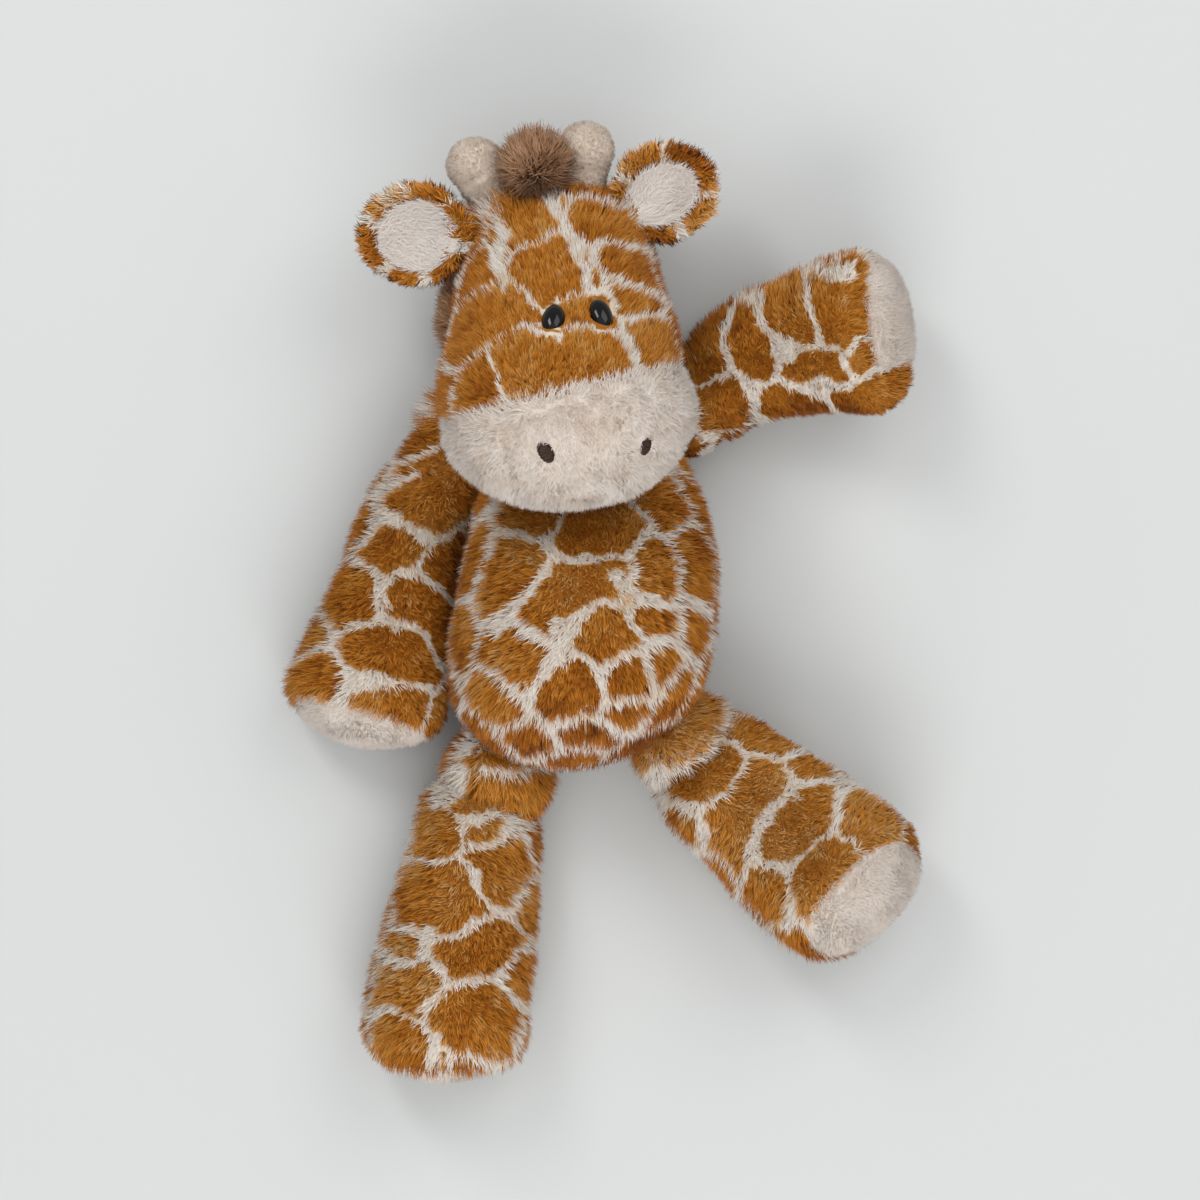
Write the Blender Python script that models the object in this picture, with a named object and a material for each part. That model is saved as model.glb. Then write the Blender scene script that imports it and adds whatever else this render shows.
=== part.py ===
"""Plush giraffe lying on its back, modelled from its sewn and stuffed pieces.

+Z points up from the floor, +Y to the head and +X to the viewer's right.
The origin is the middle of the flat on the body's back.
"""
import math

import bmesh
import bpy
from mathutils import Matrix, Vector
from mathutils.bvhtree import BVHTree

MM = 0.001

# Fits and cloth
gap = 0.3 * MM
wall = 3.0 * MM
floor_cut = 0.5 * MM
overrun = 20.0 * MM

# Body, from the seat to the neck
body_length = 138.0 * MM
body_half_width = 43.0 * MM
body_half_depth = 42.0 * MM
body_seat_reach = 49.0 * MM
body_seat_round = 30.0 * MM
body_neck_round = 11.0 * MM
body_station_shares = (0.0, 0.15, 0.34, 0.47, 0.57, 0.66, 0.72, 0.79, 0.86, 0.94, 1.0)
body_width_shares = (0.90, 0.95, 1.0, 0.98, 0.91, 0.84, 0.77, 0.68, 0.59, 0.51, 0.47)
body_depth_shares = (0.82, 0.95, 1.0, 0.985, 0.89, 0.785, 0.69, 0.56, 0.42, 0.275, 0.20)
body_aside_shares = (-0.105, -0.012, 0.07, 0.116, 0.128, 0.128, 0.12, 0.105, 0.08, 0.05, 0.03)

# Head, a skull that lies on the floor and a snout held over the chest
skull_radius = 33.5 * MM
skull_from_neck_end = 29.0 * MM
skull_aside = -6.0 * MM
skull_settle = 0.4 * MM
snout_half_width = 40.5 * MM
snout_half_depth = 29.0 * MM
snout_run = 48.0 * MM
snout_rise = 53.0 * MM
snout_aside = 3.0 * MM
head_round_share = 0.98
head_station_shares = (0.0, 0.25, 0.42, 0.56, 0.70, 0.82, 1.0)
head_width_blend_shares = (0.0, 0.02, 0.35, 0.80, 1.0, 1.0, 1.0)
head_depth_blend_shares = (0.0, 0.05, 0.35, 0.70, 1.0, 1.0, 1.0)
muzzle_seam_share = 0.86
muzzle_seam_turn = math.radians(13.5)

# Neck joint
neck_radius = 14.0 * MM
neck_back_from_end = 11.0 * MM
neck_sink = 1.5 * MM

# Ears
ear_length = 35.0 * MM
ear_half_width = 18.0 * MM
ear_half_thickness = 3.2 * MM
ear_root_half_width = 6.5 * MM
ear_station_shares = (0.0, 0.2, 0.45, 0.7, 1.0)
ear_width_shares = (0.0, 0.55, 0.97, 1.0, 0.86)
ear_lining_length = 26.0 * MM
ear_lining_half_width = 12.0 * MM
ear_lining_half_thickness = 2.0 * MM
ear_lining_start = 1.0 * MM
ear_tip_round_share = 0.8
ear_middle_rings = 6
ear_seat_steps = 12
ear_left_place = (math.radians(150.0), math.radians(17.0))
ear_right_place = (math.radians(44.0), math.radians(17.0))
ear_left_heading = math.radians(183.0)
ear_right_heading = math.radians(27.0)

# Horns and hair
horn_length = 25.5 * MM
horn_root_radius = 8.0 * MM
horn_waist_radius = 7.2 * MM
horn_knob_radius = 9.4 * MM
horn_sink = 4.0 * MM
horn_left_place = (math.radians(125.0), math.radians(12.0))
horn_right_place = (math.radians(78.0), math.radians(12.0))
forelock_half_width = 12.0 * MM
forelock_half_length = 12.5 * MM
forelock_half_depth = 8.5 * MM
forelock_stand_share = 0.78
forelock_place = (math.radians(101.0), math.radians(26.0))
mane_height = 5.0 * MM
mane_stations = (3, 6)
mane_columns = (21, 24)

# Face
eye_half_width = 3.5 * MM
eye_half_height = 5.0 * MM
eye_bulge = 3.2 * MM
eye_stem_radius = 1.6 * MM
eye_stem_length = 6.2 * MM
washer_radius = 6.0 * MM
washer_thickness = 1.4 * MM
washer_play = 0.4 * MM
eye_along_share = 0.27
eye_apart = 16.4 * MM
eye_middle_aside = 5.4 * MM
nostril_half_width = 2.1 * MM
nostril_half_height = 3.1 * MM
nostril_thickness = 1.2 * MM
nostril_along_share = 1.25
nostril_apart = 33.0 * MM
nostril_middle_aside = 10.0 * MM

# Arms
arm_length = 116.0 * MM
arm_half_width = 26.5 * MM
arm_half_depth = 19.0 * MM
arm_ball_radius = 13.5 * MM
arm_end_round = 17.0 * MM
arm_ball_height = 14.5 * MM
arm_station_shares = (0.0, 0.15, 0.30, 0.55, 0.75, 0.90, 1.0)
arm_width_shares = (0.49, 0.54, 0.62, 0.75, 0.90, 1.0, 1.0)
arm_depth_shares = (0.70, 0.76, 0.84, 0.92, 0.98, 1.0, 1.0)
arm_left_aside_shares = (0.0, 0.04, 0.065, 0.045, 0.02, 0.01, 0.0)
arm_right_aside_shares = (0.0, -0.05, -0.075, -0.065, -0.04, -0.015, 0.0)
arm_left_along_shares = (0.0, 0.15, 0.30, 0.55, 0.75, 0.90, 1.0)
arm_right_along_shares = (0.0, 0.11, 0.215, 0.388, 0.522, 0.615, 0.67)
arm_left_rise_shares = (0.0, 0.0, 0.0, 0.0, 0.0, 0.0, 0.0)
arm_right_rise_shares = (0.0, 0.0, 0.01, 0.05, 0.11, 0.17, 0.22)
arm_left_heading = math.radians(248.3)
arm_right_heading = math.radians(23.0)
shoulder_left_back_from_end = 29.0 * MM
shoulder_right_back_from_end = 25.0 * MM
shoulder_left_turn = math.radians(172.0)
shoulder_right_turn = math.radians(8.0)

# Legs
leg_length = 105.0 * MM
leg_half_width = 25.0 * MM
leg_half_depth = 21.0 * MM
leg_ball_radius = 18.0 * MM
leg_end_round = 17.0 * MM
leg_ball_height = 19.5 * MM
leg_station_shares = (0.0, 0.15, 0.30, 0.55, 0.75, 0.90, 1.0)
leg_width_shares = (0.72, 0.74, 0.78, 0.90, 0.99, 1.0, 1.0)
leg_depth_shares = (0.84, 0.86, 0.90, 0.96, 1.0, 1.0, 1.0)
leg_left_aside_shares = (0.0, 0.03, 0.035, 0.035, 0.03, 0.015, 0.0)
leg_right_aside_shares = (0.0, -0.025, -0.03, -0.025, -0.015, -0.005, 0.0)
leg_left_along_shares = (0.0, 0.15, 0.30, 0.55, 0.75, 0.90, 1.0)
leg_right_along_shares = (0.0, 0.146, 0.277, 0.495, 0.656, 0.777, 0.85)
leg_left_rise_shares = (0.0, 0.0, 0.0, 0.0, 0.0, 0.0, 0.0)
leg_right_rise_shares = (0.0, 0.0, 0.005, 0.04, 0.09, 0.14, 0.19)
leg_left_heading = math.radians(260.0)
leg_right_heading = math.radians(321.0)
hip_left_back_from_seat = 19.0 * MM
hip_right_back_from_seat = 29.0 * MM
hip_left_turn = math.radians(208.0)
hip_right_turn = math.radians(338.0)

# Limb ends and seats
ball_seat_share = 0.87
pad_depth = 10.0 * MM
arm_left_pad_lean = math.radians(13.0)
arm_right_pad_lean = math.radians(21.0)
leg_left_pad_lean = math.radians(-8.0)
leg_right_pad_lean = math.radians(21.0)

# Mesh counts
body_segments = 26
head_segments = 24
limb_segments = 18
ball_segments = 20
small_segments = 14
cap_rings = 4
body_middle_rings = 9
head_middle_rings = 7
limb_middle_rings = 7

# Colours, as linear red, green and blue
spot_brown = (0.40, 0.15, 0.025)
cream = (0.66, 0.60, 0.52)
horn_beige = (0.58, 0.49, 0.40)
hair_brown = (0.16, 0.09, 0.05)
glossy_black = (0.006, 0.006, 0.006)
thread_brown = (0.07, 0.03, 0.015)
fibre_white = (0.80, 0.80, 0.78)
washer_white = (0.72, 0.72, 0.70)


# Scene and materials
def clear_scene():
    for thing in list(bpy.data.objects):
        bpy.data.objects.remove(thing, do_unlink=True)


def make_material(name, colour, roughness):
    material = bpy.data.materials.new(name)
    material.use_nodes = True
    shader = material.node_tree.nodes["Principled BSDF"]
    shader.inputs["Base Color"].default_value = (*colour, 1.0)
    shader.inputs["Roughness"].default_value = roughness
    shader.inputs["Metallic"].default_value = 0.0
    return material


def add_object(name, mesh, colour, roughness=0.9):
    mesh.materials.clear()
    mesh.materials.append(make_material(name, colour, roughness))
    mesh.shade_smooth()
    mesh.set_sharp_from_angle(angle=math.radians(50.0))
    thing = bpy.data.objects.new(name, mesh)
    bpy.context.scene.collection.objects.link(thing)
    return thing


def add_pivot(name, place, pieces, carrier=None):
    """An empty on a joint's axis, with the pieces that turn there as its children."""
    pivot = bpy.data.objects.new(name, None)
    pivot.location = place
    bpy.context.scene.collection.objects.link(pivot)
    if carrier is not None:
        pivot.parent = carrier
        pivot.matrix_parent_inverse = Matrix.Translation(carrier.location).inverted()
    for piece in pieces:
        thing = bpy.data.objects[piece]
        thing.parent = pivot
        thing.matrix_parent_inverse = Matrix.Translation(place).inverted()
    print(name, [round(value, 6) for value in place])
    return pivot


def mesh_from(bm, name):
    mesh = bpy.data.meshes.new(name)
    bm.to_mesh(mesh)
    bm.free()
    return mesh


# Cuts
def combine(mesh, cutter_mesh, operation):
    """Return mesh with cutter_mesh taken away from it or kept in common with it."""
    target = bpy.data.objects.new("cut_target", mesh)
    cutter = bpy.data.objects.new("cutter", cutter_mesh)
    cutter.hide_render = True
    cutter.display_type = "WIRE"
    for thing in (target, cutter):
        bpy.context.scene.collection.objects.link(thing)
    modifier = target.modifiers.new("cut", "BOOLEAN")
    modifier.operation = operation
    modifier.solver = "EXACT"
    modifier.object = cutter
    graph = bpy.context.evaluated_depsgraph_get()
    result = bpy.data.meshes.new_from_object(target.evaluated_get(graph))
    for thing in (target, cutter):
        bpy.data.objects.remove(thing, do_unlink=True)
    return result


def cut(mesh, *cutters):
    for cutter in cutters:
        mesh = combine(mesh, cutter, "DIFFERENCE")
    return mesh


def keep(mesh, cutter):
    return combine(mesh, cutter, "INTERSECT")


def merge(mesh, other):
    return combine(mesh, other, "UNION")


# Plain shapes
def ball_mesh(centre, radius):
    bm = bmesh.new()
    bmesh.ops.create_uvsphere(bm, u_segments=ball_segments, v_segments=ball_segments // 2, radius=radius)
    bmesh.ops.translate(bm, verts=bm.verts, vec=centre)
    return mesh_from(bm, "ball")


def socket_mesh(centre, radius):
    """The room for a ball to turn in, large enough that its flats stay clear of the ball."""
    return ball_mesh(centre, (radius + gap) / flat_share(ball_segments) ** 2)


def box_mesh(low, high, placing=None):
    bm = bmesh.new()
    bmesh.ops.create_cube(bm, size=1.0)
    for vertex in bm.verts:
        shares = (vertex.co.x + 0.5, vertex.co.y + 0.5, vertex.co.z + 0.5)
        vertex.co = Vector(a + (b - a) * share for a, b, share in zip(low, high, shares))
    if placing is not None:
        bmesh.ops.transform(bm, matrix=placing, verts=bm.verts)
    return mesh_from(bm, "box")


def floor_mesh():
    reach = 2.0 * (body_length + leg_length)
    return box_mesh((-reach, -reach, -overrun), (reach, reach, 0.0))


def turned_mesh(profile, centre, axis, segments=small_segments):
    """Turn an outline of (distance along the axis, radius) pairs round an axis."""
    turning = Vector((0, 0, 1)).rotation_difference(axis).to_matrix().to_4x4()
    placing = Matrix.Translation(centre) @ turning
    bm = bmesh.new()
    rows = []
    for along, radius in profile:
        if radius == 0.0:
            rows.append([bm.verts.new((0, 0, along))])
            continue
        row = []
        for step in range(segments):
            angle = 2.0 * math.pi * step / segments
            row.append(bm.verts.new((radius * math.cos(angle), radius * math.sin(angle), along)))
        rows.append(row)
    bridge_rows(bm, rows)
    bmesh.ops.transform(bm, matrix=placing, verts=bm.verts)
    return mesh_from(bm, "turned")


def bridge_rows(bm, rows):
    """Join rows of vertices, where a row of one vertex is a pole."""
    for first, second in zip(rows, rows[1:]):
        count = max(len(first), len(second))
        for step in range(count):
            after = (step + 1) % count
            if len(first) == 1:
                corners = (first[0], second[step], second[after])
            elif len(second) == 1:
                corners = (first[step], second[0], first[after])
            else:
                corners = (first[step], second[step], second[after], first[after])
            bm.faces.new(corners)
    bmesh.ops.recalc_face_normals(bm, faces=bm.faces)


# Swelling and tapering forms
def read_table(stations, values, share):
    """Read a smooth curve through a table at one share of its length."""
    last = len(stations) - 1
    index = 0
    while index < last - 1 and share > stations[index + 1]:
        index += 1
    span = stations[index + 1] - stations[index]
    place = (share - stations[index]) / span
    slopes = []
    for knot in (index, index + 1):
        before = max(knot - 1, 0)
        after = min(knot + 1, last)
        run = stations[after] - stations[before]
        slopes.append((values[after] - values[before]) / run * span)
    square = place * place
    cube = square * place
    return (
        values[index] * (2.0 * cube - 3.0 * square + 1.0)
        + slopes[0] * (cube - 2.0 * square + place)
        + values[index + 1] * (3.0 * square - 2.0 * cube)
        + slopes[1] * (cube - square)
    )


def form_rings(length, start_round, end_round, middle_rings):
    """List each ring's share of the length and how far the rounded ends draw it in."""
    rings = []
    for step in range(1, cap_rings + 1):
        angle = 0.5 * math.pi * step / cap_rings
        rings.append((start_round * (1.0 - math.cos(angle)) / length, math.sin(angle)))
    first = start_round / length
    last = 1.0 - end_round / length
    for step in range(1, middle_rings):
        rings.append((first + (last - first) * step / middle_rings, 1.0))
    for step in range(cap_rings, 0, -1):
        angle = 0.5 * math.pi * step / cap_rings
        rings.append((1.0 - end_round * (1.0 - math.cos(angle)) / length, math.sin(angle)))
    return rings


class Form:
    """A closed, rounded skin drawn along a path, and the same skin set in or out."""

    def __init__(self, path, half_width, half_depth, rings, segments, facing=None):
        self.path = path
        self.segments = segments
        self.facing = facing
        self.base = bmesh.new()
        self.rows = [[self.base.verts.new(path(0.0))]]
        for share, draw in rings:
            centre, across, up = self.frame(share)
            row = []
            for step in range(segments):
                angle = 2.0 * math.pi * step / segments
                aside = across * (math.cos(angle) * half_width(share) * draw)
                rise = up * (math.sin(angle) * half_depth(share) * draw)
                row.append(self.base.verts.new(centre + aside + rise))
            self.rows.append(row)
        self.rows.append([self.base.verts.new(path(1.0))])
        bridge_rows(self.base, self.rows)
        self.base.normal_update()
        self.tree = BVHTree.FromBMesh(self.base)

    def frame(self, share):
        step = 0.01
        before = self.path(max(share - step, 0.0))
        after = self.path(min(share + step, 1.0))
        along = self.facing or (after - before).normalized()
        across = along.cross(Vector((0, 0, 1))).normalized()
        return self.path(share), across, across.cross(along)

    def mesh(self, offset=0.0):
        bm = self.base.copy()
        bm.normal_update()
        for vertex in bm.verts:
            vertex.co += vertex.normal * offset
        return mesh_from(bm, "form")

    def shell_mesh(self, thickness=wall):
        bm = self.base.copy()
        bm.normal_update()
        inner = self.base.copy()
        inner.normal_update()
        twins = []
        for vertex in inner.verts:
            twins.append(bm.verts.new(vertex.co - vertex.normal * thickness))
        for face in inner.faces:
            bm.faces.new([twins[vertex.index] for vertex in reversed(face.verts)])
        inner.free()
        return mesh_from(bm, "shell")

    def surface(self, origin, direction):
        """Find where a ray from inside leaves the skin, and the skin's outward normal."""
        place, normal, _, _ = self.tree.ray_cast(origin, direction)
        if normal.dot(direction) < 0.0:
            normal = -normal
        return place, normal

    def surface_below(self, aside, along):
        """Find the skin straight below a place above the form."""
        high = 10.0 * skull_radius
        place, normal, _, _ = self.tree.ray_cast(Vector((aside, along, high)), Vector((0, 0, -1)))
        return place, normal


def flat_share(segments):
    """How far a ring's flats lie from its middle, as a share of its radius."""
    return math.cos(math.pi / segments)


def heading(turn, lift=0.0):
    return Vector((math.cos(turn) * math.cos(lift), math.sin(turn) * math.cos(lift), math.sin(lift)))


# Body
def body_path(share):
    depth = body_half_depth * read_table(body_station_shares, body_depth_shares, share)
    aside = body_half_width * read_table(body_station_shares, body_aside_shares, share)
    height = depth * flat_share(body_segments) - floor_cut
    return Vector((aside, body_length * share - body_seat_reach, height))


def make_body_form():
    rings = form_rings(body_length, body_seat_round, body_neck_round, body_middle_rings)
    return Form(
        body_path,
        lambda share: body_half_width * read_table(body_station_shares, body_width_shares, share),
        lambda share: body_half_depth * read_table(body_station_shares, body_depth_shares, share),
        rings,
        body_segments,
        Vector((0, 1, 0)),
    )


# Head
neck_end = body_length - body_seat_reach
skull_height = skull_radius - skull_settle - floor_cut
skull_centre = Vector((skull_aside, neck_end + skull_from_neck_end, skull_height))
snout_centre = skull_centre + Vector((snout_aside, -snout_run, snout_rise))
head_axis = (snout_centre - skull_centre).normalized()
head_back_round = skull_radius * head_round_share
head_tip_round = snout_half_depth * head_round_share
head_length = head_back_round + (snout_centre - skull_centre).length + head_tip_round


def head_path(share):
    return skull_centre + head_axis * (head_length * share - head_back_round)


def make_head_form():
    def half_width(share):
        blend = read_table(head_station_shares, head_width_blend_shares, share)
        return skull_radius + (snout_half_width - skull_radius) * blend

    def half_depth(share):
        blend = read_table(head_station_shares, head_depth_blend_shares, share)
        return skull_radius + (snout_half_depth - skull_radius) * blend

    rings = form_rings(head_length, head_back_round, head_tip_round, head_middle_rings)
    return Form(head_path, half_width, half_depth, rings, head_segments)


def muzzle_side_mesh(side, clearance):
    """A block that covers the head on one side of the muzzle's seam."""
    seam_place = skull_centre.lerp(snout_centre, muzzle_seam_share)
    placing = Matrix.Translation(seam_place) @ Matrix.Rotation(muzzle_seam_turn, 4, "Z")
    reach = head_length
    if side < 0:
        return box_mesh((-reach, -reach, -reach), (reach, -clearance, reach), placing)
    return box_mesh((-reach, clearance, -reach), (reach, reach, reach), placing)


# Ears
def ear_outer_form(hinge, way):
    def path(share):
        return hinge + way * (ear_length * share - ear_half_thickness)

    def half_width(share):
        blend = read_table(ear_station_shares, ear_width_shares, share)
        return ear_root_half_width + (ear_half_width - ear_root_half_width) * blend

    rings = form_rings(ear_length, ear_half_thickness, ear_half_width * ear_tip_round_share, ear_middle_rings)
    return Form(path, half_width, lambda share: ear_half_thickness, rings, small_segments)


def ear_lining_form(hinge, way):
    start = hinge + way * ear_lining_start + Vector((0, 0, ear_half_thickness))
    end_round = ear_lining_length * 0.5
    return Form(
        lambda share: start + way * (ear_lining_length * share),
        lambda share: ear_lining_half_width,
        lambda share: ear_lining_half_thickness,
        form_rings(ear_lining_length, end_round, end_round, 1),
        small_segments,
    )


def seat_ear(head_form, place, way):
    """Bring the ear's root up to the head until the nearest part of it lies a gap away."""
    root, _ = head_form.surface(skull_centre, heading(*place))
    hinge = root + way * ear_length
    for _ in range(ear_seat_steps):
        ear = ear_outer_form(hinge, way)
        nearest = min(head_form.tree.find_nearest(vertex.co)[3] for vertex in ear.base.verts)
        hinge = hinge - way * (nearest - gap)
    return hinge


def make_ear(side, head_form, place, turn, carrier):
    way = heading(turn)
    hinge = seat_ear(head_form, place, way)
    lining = ear_lining_form(hinge, way)
    outer_mesh = cut(ear_outer_form(hinge, way).mesh(), lining.mesh(gap))
    add_object("ear_" + side + "_outer", outer_mesh, spot_brown)
    add_object("ear_" + side + "_lining", lining.mesh(), cream)
    names = ["ear_" + side + "_outer", "ear_" + side + "_lining"]
    add_pivot("ear_" + side + "_pivot", hinge, names, carrier)


# Horns, forelock and mane
def horn_mesh(head_form, place, grown):
    """One stub with a rounded knob, or the room that it takes when grown."""
    way = heading(*place)
    root, _ = head_form.surface(skull_centre, way)
    start = root - way * horn_sink
    top = horn_sink + horn_length
    knob_middle = top - horn_knob_radius
    profile = [(0.0, 0.0), (0.0, horn_root_radius + grown)]
    profile.append((horn_sink + horn_length * 0.25, horn_waist_radius + grown))
    for step in range(-2, cap_rings):
        angle = 0.5 * math.pi * step / cap_rings
        along = knob_middle + (horn_knob_radius + grown) * math.sin(angle)
        profile.append((along, (horn_knob_radius + grown) * math.cos(angle)))
    profile.append((top + grown, 0.0))
    return cut(turned_mesh(profile, start, way), head_form.mesh(gap - grown))


def make_forelock(head_form):
    way = heading(*forelock_place)
    root, _ = head_form.surface(skull_centre, way)
    bm = bmesh.new()
    bmesh.ops.create_uvsphere(bm, u_segments=small_segments, v_segments=small_segments // 2, radius=1.0)
    for vertex in bm.verts:
        vertex.co.x *= forelock_half_width
        vertex.co.y *= forelock_half_length
        vertex.co.z *= forelock_half_depth
    turning = Vector((0, 1, 0)).rotation_difference(way).to_matrix().to_4x4()
    placing = Matrix.Translation(root + way * (forelock_half_length * forelock_stand_share)) @ turning
    bmesh.ops.transform(bm, matrix=placing, verts=bm.verts)
    horns = [horn_mesh(head_form, place, gap) for place in (horn_left_place, horn_right_place)]
    return cut(mesh_from(bm, "forelock"), head_form.mesh(gap), *horns)


def make_mane(head_form):
    """A strip that follows the back of the head's skin."""
    bm = bmesh.new()
    layers = []
    for lift in (gap, gap + mane_height):
        grid = []
        for station in range(mane_stations[0], mane_stations[1] + 1):
            row = []
            for column in range(mane_columns[0], mane_columns[1] + 1):
                vertex = head_form.rows[station][column % head_segments]
                row.append(bm.verts.new(vertex.co + vertex.normal * lift))
            grid.append(row)
        layers.append(grid)
    inner, outer = layers
    for grid in layers:
        for first, second in zip(grid, grid[1:]):
            for step in range(len(first) - 1):
                bm.faces.new((first[step], first[step + 1], second[step + 1], second[step]))
    rims = []
    for grid in layers:
        right = [row[-1] for row in grid[1:-1]]
        left = [row[0] for row in reversed(grid[1:-1])]
        rims.append(grid[0] + right + list(reversed(grid[-1])) + left)
    count = len(rims[0])
    for step in range(count):
        after = (step + 1) % count
        bm.faces.new((rims[0][step], rims[0][after], rims[1][after], rims[1][step]))
    bmesh.ops.recalc_face_normals(bm, faces=bm.faces)
    return mesh_from(bm, "mane")


# Eyes and nostrils
def face_place(head_form, along_share, aside):
    middle = skull_centre.lerp(snout_centre, along_share)
    return head_form.surface_below(middle.x + aside, middle.y)


def oval_dome_mesh(place, normal, half_width, half_height, bulge, foot):
    """A domed oval on the skin, its flat back a little off the skin."""
    profile = [(0.0, 0.0), (0.0, 1.0)]
    for step in range(1, cap_rings):
        angle = 0.5 * math.pi * step / cap_rings
        profile.append((math.sin(angle), math.cos(angle)))
    profile.append((1.0, 0.0))
    unit = turned_mesh(profile, Vector(), Vector((0, 0, 1)))
    across = Vector((0, 1, 0)).cross(normal).normalized()
    upward = normal.cross(across)
    turning = Matrix((across, upward, normal)).transposed().to_4x4()
    placing = Matrix.Translation(place + normal * foot) @ turning
    placing = placing @ Matrix.Diagonal((half_width, half_height, bulge, 1.0))
    unit.transform(placing)
    return unit


def skin_sag(half_size):
    """How far the skin falls away under the rim of a small flat piece."""
    return half_size * half_size / (2.0 * snout_half_width)


def make_eye(side, place, normal):
    dome = oval_dome_mesh(place, normal, eye_half_width, eye_half_height, eye_bulge, gap)
    stem_top = gap + eye_bulge * 0.5
    stem_profile = [
        (-eye_stem_length, 0.0),
        (-eye_stem_length, eye_stem_radius),
        (stem_top, eye_stem_radius),
        (stem_top, 0.0),
    ]
    stem = turned_mesh(stem_profile, place, normal)
    add_object("eye_" + side, merge(dome, stem), glossy_black, 0.12)
    washer_top = -(wall + gap + skin_sag(washer_radius))
    washer_low = washer_top - washer_thickness
    inner = eye_stem_radius + gap
    profile = [
        (washer_low, inner),
        (washer_low, washer_radius),
        (washer_top, washer_radius),
        (washer_top, inner),
        (washer_low, inner),
    ]
    washer = turned_mesh(profile, place, normal)
    weld_rows(washer)
    add_object("eye_washer_" + side, washer, washer_white, 0.5)


def weld_rows(mesh):
    """Join the first and last row of a turned ring, which lie on each other."""
    bm = bmesh.new()
    bm.from_mesh(mesh)
    bmesh.ops.remove_doubles(bm, verts=bm.verts, dist=0.01 * gap)
    bmesh.ops.recalc_face_normals(bm, faces=bm.faces)
    bm.to_mesh(mesh)
    bm.free()


def eye_hole_mesh(place, normal):
    profile = [
        (-(wall + overrun * 0.1), 0.0),
        (-(wall + overrun * 0.1), eye_stem_radius + gap),
        (overrun * 0.1, eye_stem_radius + gap),
        (overrun * 0.1, 0.0),
    ]
    return turned_mesh(profile, place, normal)


def eye_pocket_mesh(place, normal):
    """The room that the washer and the stem's end take in the stuffing."""
    low = -(max(eye_stem_length, wall + gap + skin_sag(washer_radius) + washer_thickness) + washer_play)
    profile = [
        (low, 0.0),
        (low, washer_radius + washer_play),
        (0.0, washer_radius + washer_play),
        (0.0, 0.0),
    ]
    return turned_mesh(profile, place, normal)


# Limbs
class Limb:
    """One arm or leg: a gathered root, a sleeve, a pad and the filling."""

    def __init__(self, name, size, ball_centre, turn, pad_lean):
        self.name = name
        self.size = size
        self.pad_lean = pad_lean
        self.ball_centre = ball_centre
        self.way = heading(turn)
        self.aside = heading(turn - math.pi / 2.0)
        rings = form_rings(size["length"], size["ball_radius"], size["end_round"], limb_middle_rings)
        self.form = Form(self.path, self.half_width, self.half_depth, rings, limb_segments)

    def half_width(self, share):
        return self.size["half_width"] * read_table(self.size["stations"], self.size["width_shares"], share)

    def half_depth(self, share):
        return self.size["half_depth"] * read_table(self.size["stations"], self.size["depth_shares"], share)

    def path(self, share):
        stations = self.size["stations"]
        length = self.size["length"]
        along = length * read_table(stations, self.size["along_shares"], share)
        aside = length * read_table(stations, self.size["aside_shares"], share)
        rise = length * read_table(stations, self.size["rise_shares"], share)
        lying = self.half_depth(share) * flat_share(limb_segments) - floor_cut
        settle = min(1.0, share / self.size["stations"][2])
        height = self.ball_centre.z + (lying - self.ball_centre.z) * settle + rise
        flat = self.ball_centre + self.way * along + self.aside * aside
        return Vector((flat.x, flat.y, height))

    def pad_side_mesh(self, clearance):
        """A block that covers the limb's end, out from the pad's seam."""
        tip = self.path(1.0)
        along = (tip - self.path(0.9)).normalized()
        across = along.cross(Vector((0, 0, 1))).normalized()
        up = across.cross(along)
        facing = along * math.cos(self.pad_lean) + up * math.sin(self.pad_lean)
        rise = across.cross(facing) * -1.0
        turning = Matrix((across, rise, facing)).transposed().to_4x4()
        placing = Matrix.Translation(tip - along * pad_depth) @ turning
        reach = self.size["length"]
        return box_mesh((-reach, -reach, clearance), (reach, reach, reach), placing)

    def build(self, body_form):
        radius = self.size["ball_radius"]
        socket = socket_mesh(self.ball_centre, radius)
        body = body_form.mesh(gap)
        root = ball_mesh(self.ball_centre, radius)
        add_object(self.name + "_root", root, spot_brown)
        sleeve = cut(self.form.shell_mesh(), socket, body, floor_mesh())
        sleeve = cut(sleeve, self.pad_side_mesh(-gap * 0.5))
        add_object(self.name + "_sleeve", sleeve, spot_brown)
        pad = keep(self.form.shell_mesh(), self.pad_side_mesh(gap * 0.5))
        add_object(self.name + "_pad", cut(pad, floor_mesh()), cream)
        filling = cut(self.form.mesh(-(wall + gap)), socket, body)
        add_object(self.name + "_stuffing", filling, fibre_white)
        names = [self.name + "_" + piece for piece in ("root", "sleeve", "pad", "stuffing")]
        add_pivot(self.name + "_pivot", self.ball_centre, names)
        return socket


def limb_size(length, half_width, half_depth, ball_radius, end_round, stations, width, depth):
    return {
        "length": length,
        "half_width": half_width,
        "half_depth": half_depth,
        "ball_radius": ball_radius,
        "end_round": end_round,
        "stations": stations,
        "width_shares": width,
        "depth_shares": depth,
    }


def with_route(size, along_shares, aside_shares, rise_shares):
    routed = dict(size)
    routed["along_shares"] = along_shares
    routed["aside_shares"] = aside_shares
    routed["rise_shares"] = rise_shares
    return routed


def seat_ball(body_form, along, turn, height, radius):
    """Set a limb's ball on the side of the body, sunk a little into it."""
    middle = body_path((along + body_seat_reach) / body_length)
    origin = Vector((middle.x, along, height))
    place, normal = body_form.surface(origin, heading(turn))
    flat_normal = Vector((normal.x, normal.y, 0)).normalized()
    return place + flat_normal * (radius * ball_seat_share)


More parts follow.
